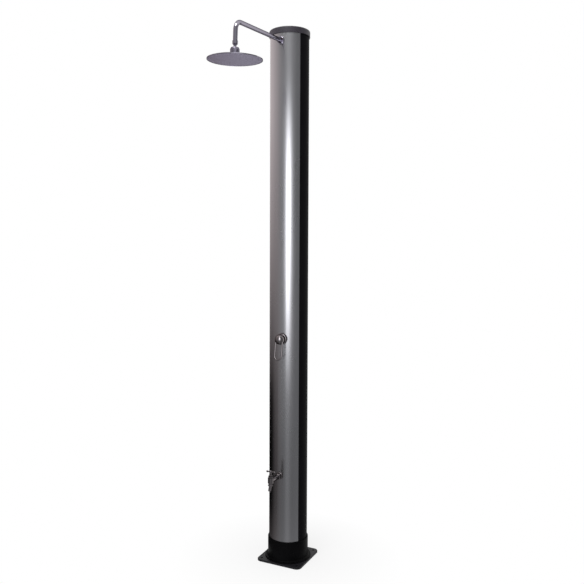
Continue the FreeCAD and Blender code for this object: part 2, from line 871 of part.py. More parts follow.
def make_arm_elbow():
    """Elbow inside the column: the riser goes up into it and the arm screws into its front."""
    body = new_body("arm_elbow")
    tip = s.post_radius + s.saddle_gap
    line = pipe_line / cosine(s.mixer_azimuth)
    barrel = s.elbow_barrel_radius
    low = -(barrel + s.pipe_socket_depth)
    tube = s.arm_nut_radius - 1
    turn_solid(body, [
        (0, line),
        (tube, line),
        (tube, tip),
        (0, tip),
    ])
    add_rod(body, barrel, 2 * barrel + s.pipe_socket_depth, (0, low, line), Vector(0, 1, 0), "Barrel")
    fall = s.arm_fall_angle.value
    direction = Vector(0, -math.sin(math.radians(fall)), math.cos(math.radians(fall)))
    start = s.post_radius - s.arm_entry - s.pipe_fit
    drop = s.arm_entry * tangent(s.arm_fall_angle)
    add_rod(body, s.arm_radius + s.pipe_fit, 2 * s.arm_entry, (0, drop, start), direction, "ArmSocket", cut=True)
    add_rod(body, s.pipe_radius + s.pipe_fit, s.pipe_socket_depth, (0, low, line), Vector(0, 1, 0),
            "RiserSocket", cut=True)
    add_rod(body, pipe_bore, s.pipe_socket_depth + barrel, (0, low, line), Vector(0, 1, 0), "RiserWay", cut=True)
    add_rod(body, pipe_bore, s.post_radius, (0, 0, line), Vector(0, 0, 1), "ArmWay", cut=True)
    place(body, (0, 0, arm_height), facing(as_size(0)))
    keep(body, "arm_elbow")


def make_rosette(name, hole, radius, height, azimuth, centre_height):
    """Round cover ring, cut to the column's face and rounded at its front edge."""
    body = new_body(name)
    back = root(s.post_radius * s.post_radius - radius * radius) - 1
    front = s.post_radius + height
    turn_solid(body, [
        (hole, back),
        (radius, back),
        (radius, front),
        (hole, front),
    ])
    soften(body, "Fillet", height / 3, ring_edge(radius, front), "FrontRound")
    cut_saddle(body, radius)
    place(body, (0, 0, centre_height), facing(azimuth))
    keep(body, name)


def arm_frame(along):
    """A place on the arm's straight part, at a distance from the column's face, and its turn."""
    y = -(s.post_radius + along * cosine(s.arm_fall_angle))
    z = arm_height - along * sine(s.arm_fall_angle)
    rotation = Rotation(Vector(1, 0, 0), 90 + s.arm_fall_angle.value)
    return (0, y, z), rotation


def make_arm_nut():
    """Round nut with six flats that locks the arm against its rosette."""
    body = new_body("arm_nut")
    base, rotation = arm_frame(s.arm_rosette_height + 1)
    outline = sketch_on(body, "XY_Plane", "Hexagon")
    corners = [(s.arm_nut_radius * cosine(as_size(60 * step)), s.arm_nut_radius * sine(as_size(60 * step)))
               for step in range(6)]
    add_outline(outline, corners)
    add_circle(outline, 0, 0, s.arm_radius + s.pipe_fit)
    pad(body, outline, s.arm_nut_height, "Nut")
    place(body, base, rotation)
    keep(body, "arm_nut")


def make_shower_arm():
    """Chromed tube: nearly level from the column, then bent down to the head."""
    body = new_body("shower_arm")
    straight = s.arm_reach + s.arm_entry
    radius = s.arm_bend_radius
    bend = s.arm_bend_angle
    spine = sketch_on(body, "YZ_Plane", "Route")
    end_x = -radius + radius * cosine(bend)
    end_y = straight + radius * sine(bend)
    tail_x = end_x - s.arm_tail * sine(bend)
    tail_y = end_y + s.arm_tail * cosine(bend)
    add_route(spine, [((0, 0), (0, straight)), ((end_x, end_y), (tail_x, tail_y))],
              [((-radius, straight), radius)])
    ring = sketch_on(body, "XY_Plane", "Section")
    add_circle(ring, 0, 0, s.arm_radius)
    add_circle(ring, 0, 0, s.arm_radius - s.arm_wall)
    sweep(body, ring, spine, "Tube")
    base, rotation = arm_frame(-s.arm_entry)
    place(body, base, rotation)
    keep(body, "shower_arm")


def ball_centre():
    """The ball joint's centre, on the line of the arm's tail."""
    fall = s.arm_fall_angle
    lean = arm_tail_lean
    along = s.arm_reach + s.arm_bend_radius * sine(s.arm_bend_angle)
    down = s.arm_bend_radius - s.arm_bend_radius * cosine(s.arm_bend_angle)
    past = s.arm_tail + s.end_nut_start + 5
    y = -s.post_radius - along * cosine(fall) + down * sine(fall) - past * sine(lean)
    z = arm_height - along * sine(fall) - down * cosine(fall) - past * cosine(lean)
    return 0, y, z


def make_arm_end():
    """Reducing nut on the arm's tail, and the ball stem that it holds."""
    base = ball_centre()
    rotation = Rotation(Vector(1, 0, 0), -arm_tail_lean.value)
    start = s.end_nut_start
    top = start + s.end_nut_height
    seat = start + 5
    body = new_body("arm_end_nut")
    turn_solid(body, [
        (s.neck_radius + s.pipe_fit, start),
        (s.neck_radius + 1.5, start),
        (s.end_nut_radius, seat),
        (s.end_nut_radius, top - 1),
        (s.end_nut_radius - 1, top),
        (s.arm_radius + s.pipe_fit, top),
        (s.arm_radius + s.pipe_fit, seat),
        (s.neck_radius + s.pipe_fit, seat),
    ])
    place(body, base, rotation)
    keep(body, "arm_end_nut")
    stem = new_body("ball_stem")
    ball, neck = s.ball_radius, s.neck_radius
    bore = neck - 2
    spigot = s.arm_radius - s.arm_wall - s.pipe_fit
    turn_solid(stem, [
        (bore, -root(ball * ball - bore * bore)),
        (neck, root(ball * ball - neck * neck)),
        (neck, seat),
        (spigot, seat),
        (spigot, top),
        (bore, top),
    ], rounds={0: ((0, 0), ball)})
    place(stem, base, rotation)
    keep(stem, "ball_stem")


# --------------------------------------------------------------------------- rain head

def head_rotation():
    """The head hangs a little out of level on its ball, lower at the front and at +X."""
    return (Rotation(Vector(0, 1, 0), s.head_lean_side.value)
            * Rotation(Vector(1, 0, 0), s.head_lean_front.value))


def make_ball_seat():
    """Plastic ring that the ball turns in."""
    body = new_body("ball_seat")
    inner, outer = s.ball_radius + s.ball_gap, seat_outer_radius
    low, high = -(s.ball_radius * 0.6), s.ball_radius * 0.5
    turn_solid(body, [
        (root(inner * inner - low * low), low),
        (root(outer * outer - low * low), low),
        (root(outer * outer - high * high), high),
        (root(inner * inner - high * high), high),
    ], rounds={1: ((0, 0), outer), 3: ((0, 0), inner)})
    place(body, ball_centre(), head_rotation())
    keep(body, "ball_seat")


def make_swivel_nut():
    """Domed union nut round the ball joint, with a round seat inside."""
    body = new_body("swivel_nut")
    lip_radius = nut_sphere_radius * sine(s.swivel_lip_angle)
    lip_height = nut_sphere_radius * cosine(s.swivel_lip_angle)
    top = lip_height + 1.5
    outer = swivel_nut_radius
    turn_solid(body, [
        (lip_radius, -s.swivel_nut_drop),
        (outer - 1, -s.swivel_nut_drop),
        (outer, -s.swivel_nut_drop + 1),
        (outer, lip_height * 0.25),
        (outer - 2, top - 2),
        (lip_radius + 2, top),
        (lip_radius, top),
    ])
    drop = s.swivel_nut_drop + 1
    turn_hollow(body, [
        (0, lip_height),
        (0, -drop),
        (nut_sphere_radius, -drop),
        (nut_sphere_radius, 0),
        (lip_radius, lip_height),
    ], "Hollow", rounds={3: ((0, 0), nut_sphere_radius)})
    place(body, ball_centre(), head_rotation())
    keep(body, "swivel_nut")


def make_head_shell():
    """Thin domed back of the head, with the threaded boss that screws into the swivel nut."""
    body = new_body("head_shell")
    wall = s.head_shell_wall
    rim = s.head_radius
    bottom = -s.head_drop
    rim_top = bottom + s.head_rim_height
    dome_top = rim_top + s.head_dome_rise
    boss_top = -s.ball_radius - 1
    middle = rim * 0.55
    knee = rim_top + s.head_dome_rise * 0.45
    seat = rim - s.face_rim
    face_back = bottom + s.face_recess + s.face_thickness
    turn_solid(body, [
        (s.head_inlet_radius, boss_top),
        (head_boss_radius, boss_top),
        (head_boss_radius, -s.swivel_nut_drop - 0.3),
        (s.head_hub_radius, -s.swivel_nut_drop - 0.3),
        (s.head_hub_radius + 4, dome_top - 1.5),
        (middle, knee),
        (rim - 6, rim_top + 1),
        (rim, rim_top - 1),
        (rim, bottom),
        (seat, bottom),
        (seat, face_back),
        (seat - s.face_rim, face_back),
        (seat - s.face_rim, rim_top - wall / 2),
        (middle, knee - wall),
        (s.head_hub_radius + 4, dome_top - 1.5 - wall),
        (s.head_inlet_radius, dome_top - 1.5 - wall),
    ])
    place(body, ball_centre(), head_rotation())
    keep(body, "head_shell")


def nozzle_places():
    """Nozzles on four rings: six more on each ring outwards."""
    places = []
    for ring in range(1, 5):
        for step in range(6 * ring):
            places.append((ring * s.nozzle_ring_pitch, as_size(60 * step / ring)))
    return places


def make_head_face():
    """Flat face plate of the head with a hole for each nozzle."""
    body = new_body("head_face")
    bottom = -s.head_drop + s.face_recess
    disc = sketch_on(body, "XY_Plane", "Disc", bottom)
    add_circle(disc, 0, 0, s.head_radius - s.face_rim - s.ball_gap)
    for reach, angle in nozzle_places():
        add_circle(disc, reach * cosine(angle), reach * sine(angle), s.nozzle_radius + s.nozzle_gap)
    pad(body, disc, s.face_thickness, "Face")
    place(body, ball_centre(), head_rotation())
    keep(body, "head_face")


def make_nozzle_sheet():
    """Soft sheet behind the face plate, with the nozzles that stand through its holes."""
    sheet_base = -s.head_drop + s.face_recess + s.face_thickness
    tip_height = s.face_thickness + s.nozzle_reach
    radius = 4 * s.nozzle_ring_pitch + 2 * s.nozzle_radius
    disc = doc.addObject("Part::Cylinder", "nozzle_disc")
    bind(disc, "Radius", radius)
    bind(disc, "Height", s.nozzle_sheet)
    place(disc, (0, 0, sheet_base))
    tips = [disc]
    for number, (reach, angle) in enumerate(nozzle_places(), start=1):
        tip = doc.addObject("Part::Cone", "nozzle_%d" % number)
        bind(tip, "Radius1", s.nozzle_tip_radius)
        bind(tip, "Radius2", s.nozzle_radius)
        bind(tip, "Height", tip_height)
        place(tip, (reach * cosine(angle), reach * sine(angle), sheet_base - tip_height))
        tips.append(tip)
    joined = fuse("nozzle_sheet_solid", tips)
    place(joined, ball_centre(), head_rotation())
    keep(joined, "nozzle_sheet")


# --------------------------------------------------------------------------- mixer

def mixer_line_offset():
    """How far the pipes' line lies from the mixer's own middle plane."""
    return -(pipe_line * tangent(s.mixer_azimuth))


def make_mixer_body():
    """Brass valve body inside the tank, with three pipe sockets and a bore for the cartridge."""
    body = new_body("mixer_body")
    neck = s.mixer_hole_radius - s.wall_hole_gap
    back = s.post_radius - s.mixer_body_back
    front = s.post_radius - 1
    turn_solid(body, [
        (0, back),
        (neck, back),
        (neck, front),
        (0, front),
    ])
    line = mixer_line_offset()
    reach = s.mixer_port_reach
    ports = (("ColdPort", line, -1), ("RiserPort", line, 1), ("HotPort", line + s.mixer_port_pitch, 1))
    for name, x, side in ports:
        add_rod(body, socket_radius, reach, (x, 0, pipe_line), Vector(0, side, 0), name)
    for name, x, side in ports:
        base = (x, side * (reach - s.pipe_socket_depth), pipe_line)
        add_rod(body, s.pipe_radius + s.pipe_fit, s.pipe_socket_depth + OVERSHOOT, base,
                Vector(0, side, 0), name + "Socket", cut=True)
        add_rod(body, pipe_bore, reach, (x, 0, pipe_line), Vector(0, side, 0), name + "Way", cut=True)
    add_rod(body, s.cartridge_radius + s.pipe_fit, 2 * s.cartridge_length, (0, 0, front - s.cartridge_length),
            Vector(0, 0, 1), "CartridgeBore", cut=True)
    place(body, (0, 0, s.mixer_height), facing(s.mixer_azimuth))
    keep(body, "mixer_body")


def make_mixer_fittings():
    """Cartridge, its nut and the chromed cover ring."""
    front = s.post_radius - 1
    cartridge = new_body("mixer_cartridge")
    turn_solid(cartridge, [
        (0, front - s.cartridge_length),
        (s.cartridge_radius, front - s.cartridge_length),
        (s.cartridge_radius, front - 2),
        (0, front - 2),
    ])
    place(cartridge, (0, 0, s.mixer_height), facing(s.mixer_azimuth))
    keep(cartridge, "mixer_cartridge")
    nut = new_body("cartridge_nut")
    hole = s.stalk_radius + 1
    outer = s.mixer_hole_radius - s.wall_hole_gap
    turn_solid(nut, [
        (hole, front + 0.1),
        (outer, front + 0.1),
        (outer, front + s.cartridge_nut_height - 2),
        (outer - 2, front + s.cartridge_nut_height),
        (hole, front + s.cartridge_nut_height),
    ])
    place(nut, (0, 0, s.mixer_height), facing(s.mixer_azimuth))
    keep(nut, "cartridge_nut")
    make_rosette("mixer_escutcheon", s.mixer_hole_radius, s.escutcheon_radius, s.escutcheon_height,
                 s.mixer_azimuth, s.mixer_height)


def make_mixer_stalk():
    """Turning part of the cartridge: a disc under the nut and the stalk that carries the lever."""
    body = new_body("mixer_stalk")
    low = s.post_radius - 1 - 1.9
    turn_solid(body, [
        (0, low),
        (s.stalk_radius + 4, low),
        (s.stalk_radius + 4, low + 1.8),
        (s.stalk_radius, low + 1.8),
        (s.stalk_radius, pivot_reach + s.lever_pin_radius * 2),
        (0, pivot_reach + s.lever_pin_radius * 2),
    ])
    side = s.stalk_radius + 1
    add_rod(body, s.lever_pin_radius, 2 * side, (-side, 0, pivot_reach), Vector(1, 0, 0), "PinHole", cut=True)
    place(body, (0, 0, s.mixer_height), facing(s.mixer_azimuth))
    keep(body, "mixer_stalk")
    pin = new_body("lever_pin")
    half = s.lever_cavity_radius - 1
    add_rod(pin, s.lever_pin_radius, 2 * half, (-half, 0, pivot_reach), Vector(1, 0, 0), "Pin")
    place(pin, (0, 0, s.mixer_height), facing(s.mixer_azimuth))
    keep(pin, "lever_pin")


def make_lever_handle():
    """Ball-shaped lever with a hollow back and an open loop of round rod that hangs in front."""
    body = new_body("lever_handle")
    radius = s.lever_ball_radius
    back = s.lever_ball_back
    corner = root(radius * radius - back * back)
    turn_solid(body, [(0, -back), (corner, -back), (0, radius)], "Ball", rounds={1: ((0, 0), radius)})
    add_rod(body, s.lever_cavity_radius, s.lever_cavity_depth + 1, (0, 0, -back - 1), Vector(0, 0, 1),
            "Cavity", cut=True)
    inner = s.stalk_radius + s.stalk_side_gap
    length = s.lever_cavity_radius - inner + 0.8
    for side in (-1, 1):
        add_rod(body, s.lever_boss_radius, length, (side * inner, 0, 0), Vector(side, 0, 0),
                "Boss%d" % (side + 2))
    half = s.lever_cavity_radius - 0.7
    add_rod(body, s.lever_pin_radius + s.lever_pin_fit, 2 * half, (-half, 0, 0), Vector(1, 0, 0),
            "PinHole", cut=True)
    add_loop(body)
    add_rod(body, s.index_radius + s.pipe_fit, s.index_depth + OVERSHOOT, (0, 0, radius - s.index_depth - 0.5),
            Vector(0, 0, 1), "IndexRecess", cut=True)
    x, y = outwards(pivot_reach, s.mixer_azimuth)
    place(body, (x, y, s.mixer_height), facing(s.mixer_azimuth))
    keep(body, "lever_handle")


def add_loop(body):
    """Hanging loop of round rod in a plane that leans outwards towards its lower end."""
    half = s.loop_half_width
    length = s.loop_length
    rod = s.loop_rod_radius
    top = -s.loop_top
    spine = sketch_on(body, "XY_Plane", "LoopRoute")
    lean = Rotation(Vector(1, 0, 0), -s.loop_lean.value)
    spine.AttachmentOffset = Placement(Vector(0, 0, s.loop_out.value), lean)
    bind(spine, "AttachmentOffset.Base.z", s.loop_out)
    low = top - length
    add_route(spine, [((-half, top), (-half, low)), ((half, low), (half, top))], [((0, low), half)])
    doc.recompute()
    section = body.newObject("Sketcher::SketchObject", "LoopSection")
    plane = next(item for item in body.Origin.OriginFeatures if item.Role == "XZ_Plane")
    section.AttachmentSupport = [(plane, "")]
    section.MapMode = "FlatFace"
    start = spine.AttachmentOffset.multVec(Vector(-half.value, top.value, 0))
    tilt = Rotation(Vector(1, 0, 0), -s.loop_lean.value)
    section.AttachmentOffset = Placement(Vector(0, start.z, -start.y), tilt)
    add_circle(section, -half, 0, rod)
    sweep(body, section, spine, "Loop")


def make_index_plug():
    """Small plug over the lever's set screw."""
    body = new_body("index_plug")
    base = s.lever_ball_radius - s.index_depth - 0.5
    turn_solid(body, [
        (0, base),
        (s.index_radius, base),
        (s.index_radius, base + s.index_depth),
        (s.index_radius - 0.6, base + s.index_depth + 0.4),
        (0, base + s.index_depth + 0.4),
    ])
    x, y = outwards(pivot_reach, s.mixer_azimuth)
    place(body, (x, y, s.mixer_height), facing(s.mixer_azimuth))
    keep(body, "index_plug")


# --------------------------------------------------------------------------- tap

def make_pipe_tee():
    """Tee on the cold pipe that feeds the tap."""
    body = new_body("pipe_tee")
    line = pipe_line / cosine(s.mixer_azimuth)
    shift = -(line * sine(s.tap_azimuth))
    out = line * cosine(s.tap_azimuth)
    barrel = socket_radius
    half = s.tap_tail_radius + s.pipe_socket_wall + s.pipe_socket_depth
    depth = s.pipe_socket_depth
    branch = s.tap_tail_radius + 2
    end = tank_radius - 4
    turn_solid(body, [
        (0, out),
        (branch, out),
        (branch, end),
        (0, end),
    ])
    add_rod(body, barrel, 2 * half, (shift, -half, out), Vector(0, 1, 0), "Barrel")
    for side in (-1, 1):
        base = (shift, side * (half - depth), out)
        add_rod(body, s.pipe_radius + s.pipe_fit, depth + 1, base, Vector(0, side, 0),
                "Socket%d" % (side + 2), cut=True)
    add_rod(body, s.tap_tail_radius + s.pipe_fit, 2 * depth, (0, 0, end - depth), Vector(0, 0, 1), "TapSocket",
            cut=True)
    add_rod(body, pipe_bore, 2 * half, (shift, -half, out), Vector(0, 1, 0), "ColdWay", cut=True)
    add_rod(body, pipe_bore, end - out, (0, 0, out), Vector(0, 0, 1), "TapWay", cut=True)
    place(body, (0, 0, s.tap_height), facing(s.tap_azimuth))
    keep(body, "pipe_tee")


def make_tap_body():
    """Bib tap: a level barrel, an upright valve chamber and a spout that leans outwards."""
    body = new_body("tap_body")
    inside = tank_radius - 4 - s.pipe_socket_depth
    shoulder = s.post_radius + s.tap_rosette_height + 1
    turn_solid(body, [
        (0, inside),
        (s.tap_tail_radius, inside),
        (s.tap_tail_radius, shoulder),
        (s.tap_tail_radius + 1.6, shoulder + 1),
        (s.tap_tail_radius + 1.6, shoulder + 8),
        (s.tap_barrel_radius, shoulder + 12),
        (s.tap_barrel_radius - 1, chamber_reach),
        (0, chamber_reach),
    ])
    chamber = s.tap_chamber_radius
    height = s.tap_chamber_top + s.tap_chamber_bottom
    add_rod(body, chamber, height, (0, -s.tap_chamber_bottom, chamber_reach), Vector(0, 1, 0), "Chamber")
    soften(body, "Fillet", 3,
           lambda edge: isinstance(edge.Curve, Part.Circle)
           and abs(edge.Curve.Radius - chamber.value) < 0.01
           and abs(edge.Curve.Center.y + s.tap_chamber_bottom.value) < 0.01, "ChamberRound")
    add_spout(body)
    add_rod(body, s.tap_seat_radius, s.tap_seat_depth + 1,
            (0, s.tap_chamber_top - s.tap_seat_depth, chamber_reach), Vector(0, 1, 0), "ValveSeat", cut=True)
    add_rod(body, s.spout_bore_radius - 1, chamber_reach - inside, (0, 0, inside), Vector(0, 0, 1), "InletWay",
            cut=True)
    place(body, (0, 0, s.tap_height), facing(s.tap_azimuth))
    keep(body, "tap_body")


def spout_end():
    """Where the spout's route ends, as up and out in the tap's own frame."""
    lean = s.spout_lean
    bend = s.spout_bend_radius
    up = -(s.spout_drop + bend * sine(lean) + s.spout_tail * cosine(lean))
    out = chamber_reach + bend - bend * cosine(lean) + s.spout_tail * sine(lean)
    return up, out


def add_spout(body):
    """Bent round spout under the valve chamber."""
    lean = s.spout_lean
    bend = s.spout_bend_radius
    drop = s.spout_drop
    spine = sketch_on(body, "YZ_Plane", "SpoutRoute")
    arc_end = (-(drop + bend * sine(lean)), chamber_reach + bend - bend * cosine(lean))
    add_route(spine, [((0, chamber_reach), (-drop, chamber_reach)), (arc_end, spout_end())],
              [((-drop, chamber_reach + bend), bend)])
    section = sketch_on(body, "XZ_Plane", "SpoutSection")
    add_circle(section, 0, chamber_reach, s.spout_radius)
    sweep(body, section, spine, "Spout")
    up, out = spout_end()
    back = Vector(0, math.cos(math.radians(lean.value)), -math.sin(math.radians(lean.value)))
    add_rod(body, s.spout_bore_radius, s.tap_chamber_top, (0, up, out), back, "Waterway", cut=True)


def spout_place(along):
    """A place on the spout's line, beyond its end, in the frame of the whole part."""
    lean = s.spout_lean
    up, out = spout_end()
    out = out + along * sine(lean)
    x, y = outwards(out, s.tap_azimuth)
    return x, y, s.tap_height + up - along * cosine(lean)


def spout_rotation():
    """Turn a piece's own +Z down along the spout."""
    return facing(s.tap_azimuth) * Rotation(Vector(1, 0, 0), 90 - s.spout_lean.value)


def make_spout_parts():
    """Ring nut and hose tail at the spout's end."""
    overlap = s.ring_nut_height / 2
    nut = new_body("outlet_ring_nut")
    bore = s.spout_radius + s.pipe_fit
    tail = s.nozzle_tail_radius
    turn_solid(nut, [
        (bore, -overlap),
        (s.ring_nut_radius - 1, -overlap),
        (s.ring_nut_radius, -overlap + 1),
        (s.ring_nut_radius, overlap - 1),
        (s.ring_nut_radius - 1, overlap),
        (tail + 0.5 + s.pipe_fit, overlap),
        (tail + 0.5 + s.pipe_fit, overlap - 2),
        (bore, overlap - 2),
    ])
    place(nut, spout_place(as_size(0)), spout_rotation())
    keep(nut, "outlet_ring_nut")
    nozzle = new_body("hose_tail")
    end = overlap + s.nozzle_tail_length
    flange = overlap - 2
    collar = tail + 0.5
    turn_solid(nozzle, [
        (s.spout_bore_radius, 0.1),
        (s.spout_radius, 0.1),
        (s.spout_radius, flange),
        (collar, flange),
        (collar, overlap + 0.5),
        (tail, overlap + 0.5),
        (tail, end - 1.5),
        (tail - 1, end),
        (s.spout_bore_radius, end),
    ])
    place(nozzle, spout_place(as_size(0)), spout_rotation())
    keep(nozzle, "hose_tail")


def tap_axis_place(height):
    """A place on the valve's upright axis, at a height over the tap's barrel."""
    x, y = outwards(chamber_reach, s.tap_azimuth)
    return x, y, s.tap_height + height


def make_tap_bonnet():
    """Hexagonal headwork nut with a round neck."""
    body = new_body("tap_bonnet")
    corner = s.bonnet_radius * 2 / root(as_size(3))
    outline = sketch_on(body, "XY_Plane", "Hexagon")
    add_outline(outline, [(corner * cosine(as_size(60 * step)), corner * sine(as_size(60 * step)))
                          for step in range(6)])
    pad(body, outline, s.bonnet_hex_height, "HexNut")
    neck = sketch_on(body, "XY_Plane", "NeckOutline")
    add_circle(neck, 0, 0, s.bonnet_neck_radius)
    pad(body, neck, s.bonnet_hex_height + s.bonnet_neck_height, "Neck")
    spigot = s.tap_seat_radius - s.spindle_gap
    add_rod(body, spigot, 4, (0, 0, -4), Vector(0, 0, 1), "Spigot")
    add_rod(body, s.spindle_radius + s.spindle_gap, 40, (0, 0, -10), Vector(0, 0, 1), "SpindleHole", cut=True)
    soften(body, "Chamfer", 1, ring_edge(s.bonnet_neck_radius, s.bonnet_hex_height + s.bonnet_neck_height),
           "NeckBevel")
    place(body, tap_axis_place(s.tap_chamber_top), Rotation(Vector(0, 0, 1), s.tap_azimuth.value))
    keep(body, "tap_bonnet")


def make_tap_handle():
    """Spindle with its ceramic disc, the cross bar with ball ends and the screw on top."""
    turn = Rotation(Vector(0, 0, 1), s.tap_azimuth.value)
    disc_low = s.tap_chamber_top - s.tap_seat_depth + 0.2
    spindle = new_body("tap_spindle")
    hub_low = s.handle_height - s.handle_hub_height / 2
    turn_solid(spindle, [
        (0, disc_low),
        (s.ceramic_radius, disc_low),
        (s.ceramic_radius, disc_low + s.ceramic_height),
        (s.spindle_radius, disc_low + s.ceramic_height),
        (s.spindle_radius, hub_low + 6),
        (0, hub_low + 6),
    ])
    place(spindle, tap_axis_place(0), turn)
    keep(spindle, "tap_spindle")
    handle = new_body("tap_handle")
    half, bar, ball = s.handle_half_length, s.handle_bar_radius, s.handle_ball_radius
    inset = root(ball * ball - bar * bar)
    turn_solid(handle, [
        (-half - ball, 0),
        (-half + inset, bar),
        (half - inset, bar),
        (half + ball, 0),
    ], "Bar", rounds={0: ((-half, 0), ball), 2: ((half, 0), ball)}, axis="H_Axis")
    turn_solid(handle, [
        (0, -s.handle_hub_height / 2),
        (s.handle_hub_radius - 1, -s.handle_hub_height / 2),
        (s.handle_hub_radius, -s.handle_hub_height / 2 + 3),
        (s.handle_hub_radius - 0.5, s.handle_hub_height / 2 - 2),
        (s.handle_hub_radius - 2, s.handle_hub_height / 2),
        (0, s.handle_hub_height / 2),
    ], "Hub")
    add_rod(handle, s.spindle_radius, 6, (0, 0, -s.handle_hub_height / 2), Vector(0, 0, 1), "SpindleSocket",
            cut=True)
    add_rod(handle, 2.6, 3, (0, 0, s.handle_hub_height / 2 - 1.5), Vector(0, 0, 1), "ScrewRecess", cut=True)
    place(handle, tap_axis_place(s.handle_height), turn)
    keep(handle, "tap_handle")
    screw = new_body("handle_screw")
    turn_solid(screw, [(0, 0), (2.5, 0), (2.5, 1.4), (1.8, 2), (0, 2)])
    place(screw, tap_axis_place(s.handle_height + s.handle_hub_height / 2 - 1.5), turn)
    keep(screw, "handle_screw")


# --------------------------------------------------------------------------- whole part

def make_all():
    """Model every sub-part from the ground up."""
    make_base_plate()
    make_base_collar()
    make_collar_screws()
    make_tank_column()
    make_front_panel()
    make_ends()
    make_top_cap()
    make_inlet_fitting()
    make_pipes()
    make_pipe_tee()
    make_arm_elbow()
    make_rosette("arm_rosette", s.arm_nut_radius - 0.6, s.arm_rosette_radius, s.arm_rosette_height,
                 as_size(0), arm_height)
    make_arm_nut()
    make_shower_arm()
    make_arm_end()
    make_ball_seat()
    make_swivel_nut()
    make_head_shell()
    make_head_face()
    make_nozzle_sheet()
    make_mixer_body()
    make_mixer_fittings()
    make_mixer_stalk()
    make_lever_handle()
    make_index_plug()
    make_rosette("tap_rosette", s.tap_tail_radius + s.pipe_fit, s.tap_rosette_radius, s.tap_rosette_height,
                 s.tap_azimuth, s.tap_height)
    make_tap_body()
    make_spout_parts()
    make_tap_bonnet()
    make_tap_handle()


def check_all():
    """Stop if any object failed or any sub-part is not a valid solid."""
    for thing in doc.Objects:
        if "Invalid" in thing.State or "Error" in thing.State:
            raise RuntimeError("%s (%s) failed: %s" % (thing.Name, thing.Label, thing.State))
    for name, thing in pieces.items():
        shape = thing.Shape
        if shape.isNull() or not shape.isValid() or shape.Volume <= 0:
            raise RuntimeError("%s has no valid solid" % name)


def export_all():
    os.makedirs("parts", exist_ok=True)
    for name, thing in pieces.items():
        thing.Shape.exportStep(os.path.join("parts", name + ".step"))


make_all()
doc.recompute()
check_all()
export_all()
print("%d sub-parts" % len(pieces))
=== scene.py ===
import math

import bpy
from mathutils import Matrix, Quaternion, Vector


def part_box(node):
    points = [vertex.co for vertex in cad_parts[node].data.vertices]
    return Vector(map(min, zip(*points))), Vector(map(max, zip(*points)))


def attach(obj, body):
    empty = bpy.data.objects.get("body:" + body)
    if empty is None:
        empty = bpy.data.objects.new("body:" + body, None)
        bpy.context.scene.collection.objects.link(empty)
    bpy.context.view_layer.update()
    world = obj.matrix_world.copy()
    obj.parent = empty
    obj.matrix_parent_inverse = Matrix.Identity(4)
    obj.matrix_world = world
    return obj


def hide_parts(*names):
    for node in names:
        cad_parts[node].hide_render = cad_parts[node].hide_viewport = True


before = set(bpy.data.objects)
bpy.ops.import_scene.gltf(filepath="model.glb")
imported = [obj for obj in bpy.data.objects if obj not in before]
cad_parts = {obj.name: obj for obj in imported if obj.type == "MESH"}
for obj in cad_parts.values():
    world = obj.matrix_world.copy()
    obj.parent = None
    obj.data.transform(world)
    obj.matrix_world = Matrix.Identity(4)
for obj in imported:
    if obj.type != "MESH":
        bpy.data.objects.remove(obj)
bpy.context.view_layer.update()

bl_info = {
    "name": "Outdoor shower post",
    "version": (1, 0, 0),
    "blender": (4, 5, 0),
    "location": "View3D > Sidebar > Shower post",
    "description": "Finishes the outdoor shower post and sets it on a pale studio floor",
    "category": "Object",
}

MM = 0.001
MICRON = 0.000001
SMOOTH_ANGLE = math.radians(30)
WHITE = (1.0, 1.0, 1.0, 1.0)


# ------------------------------------------------------------------ sizes and colours

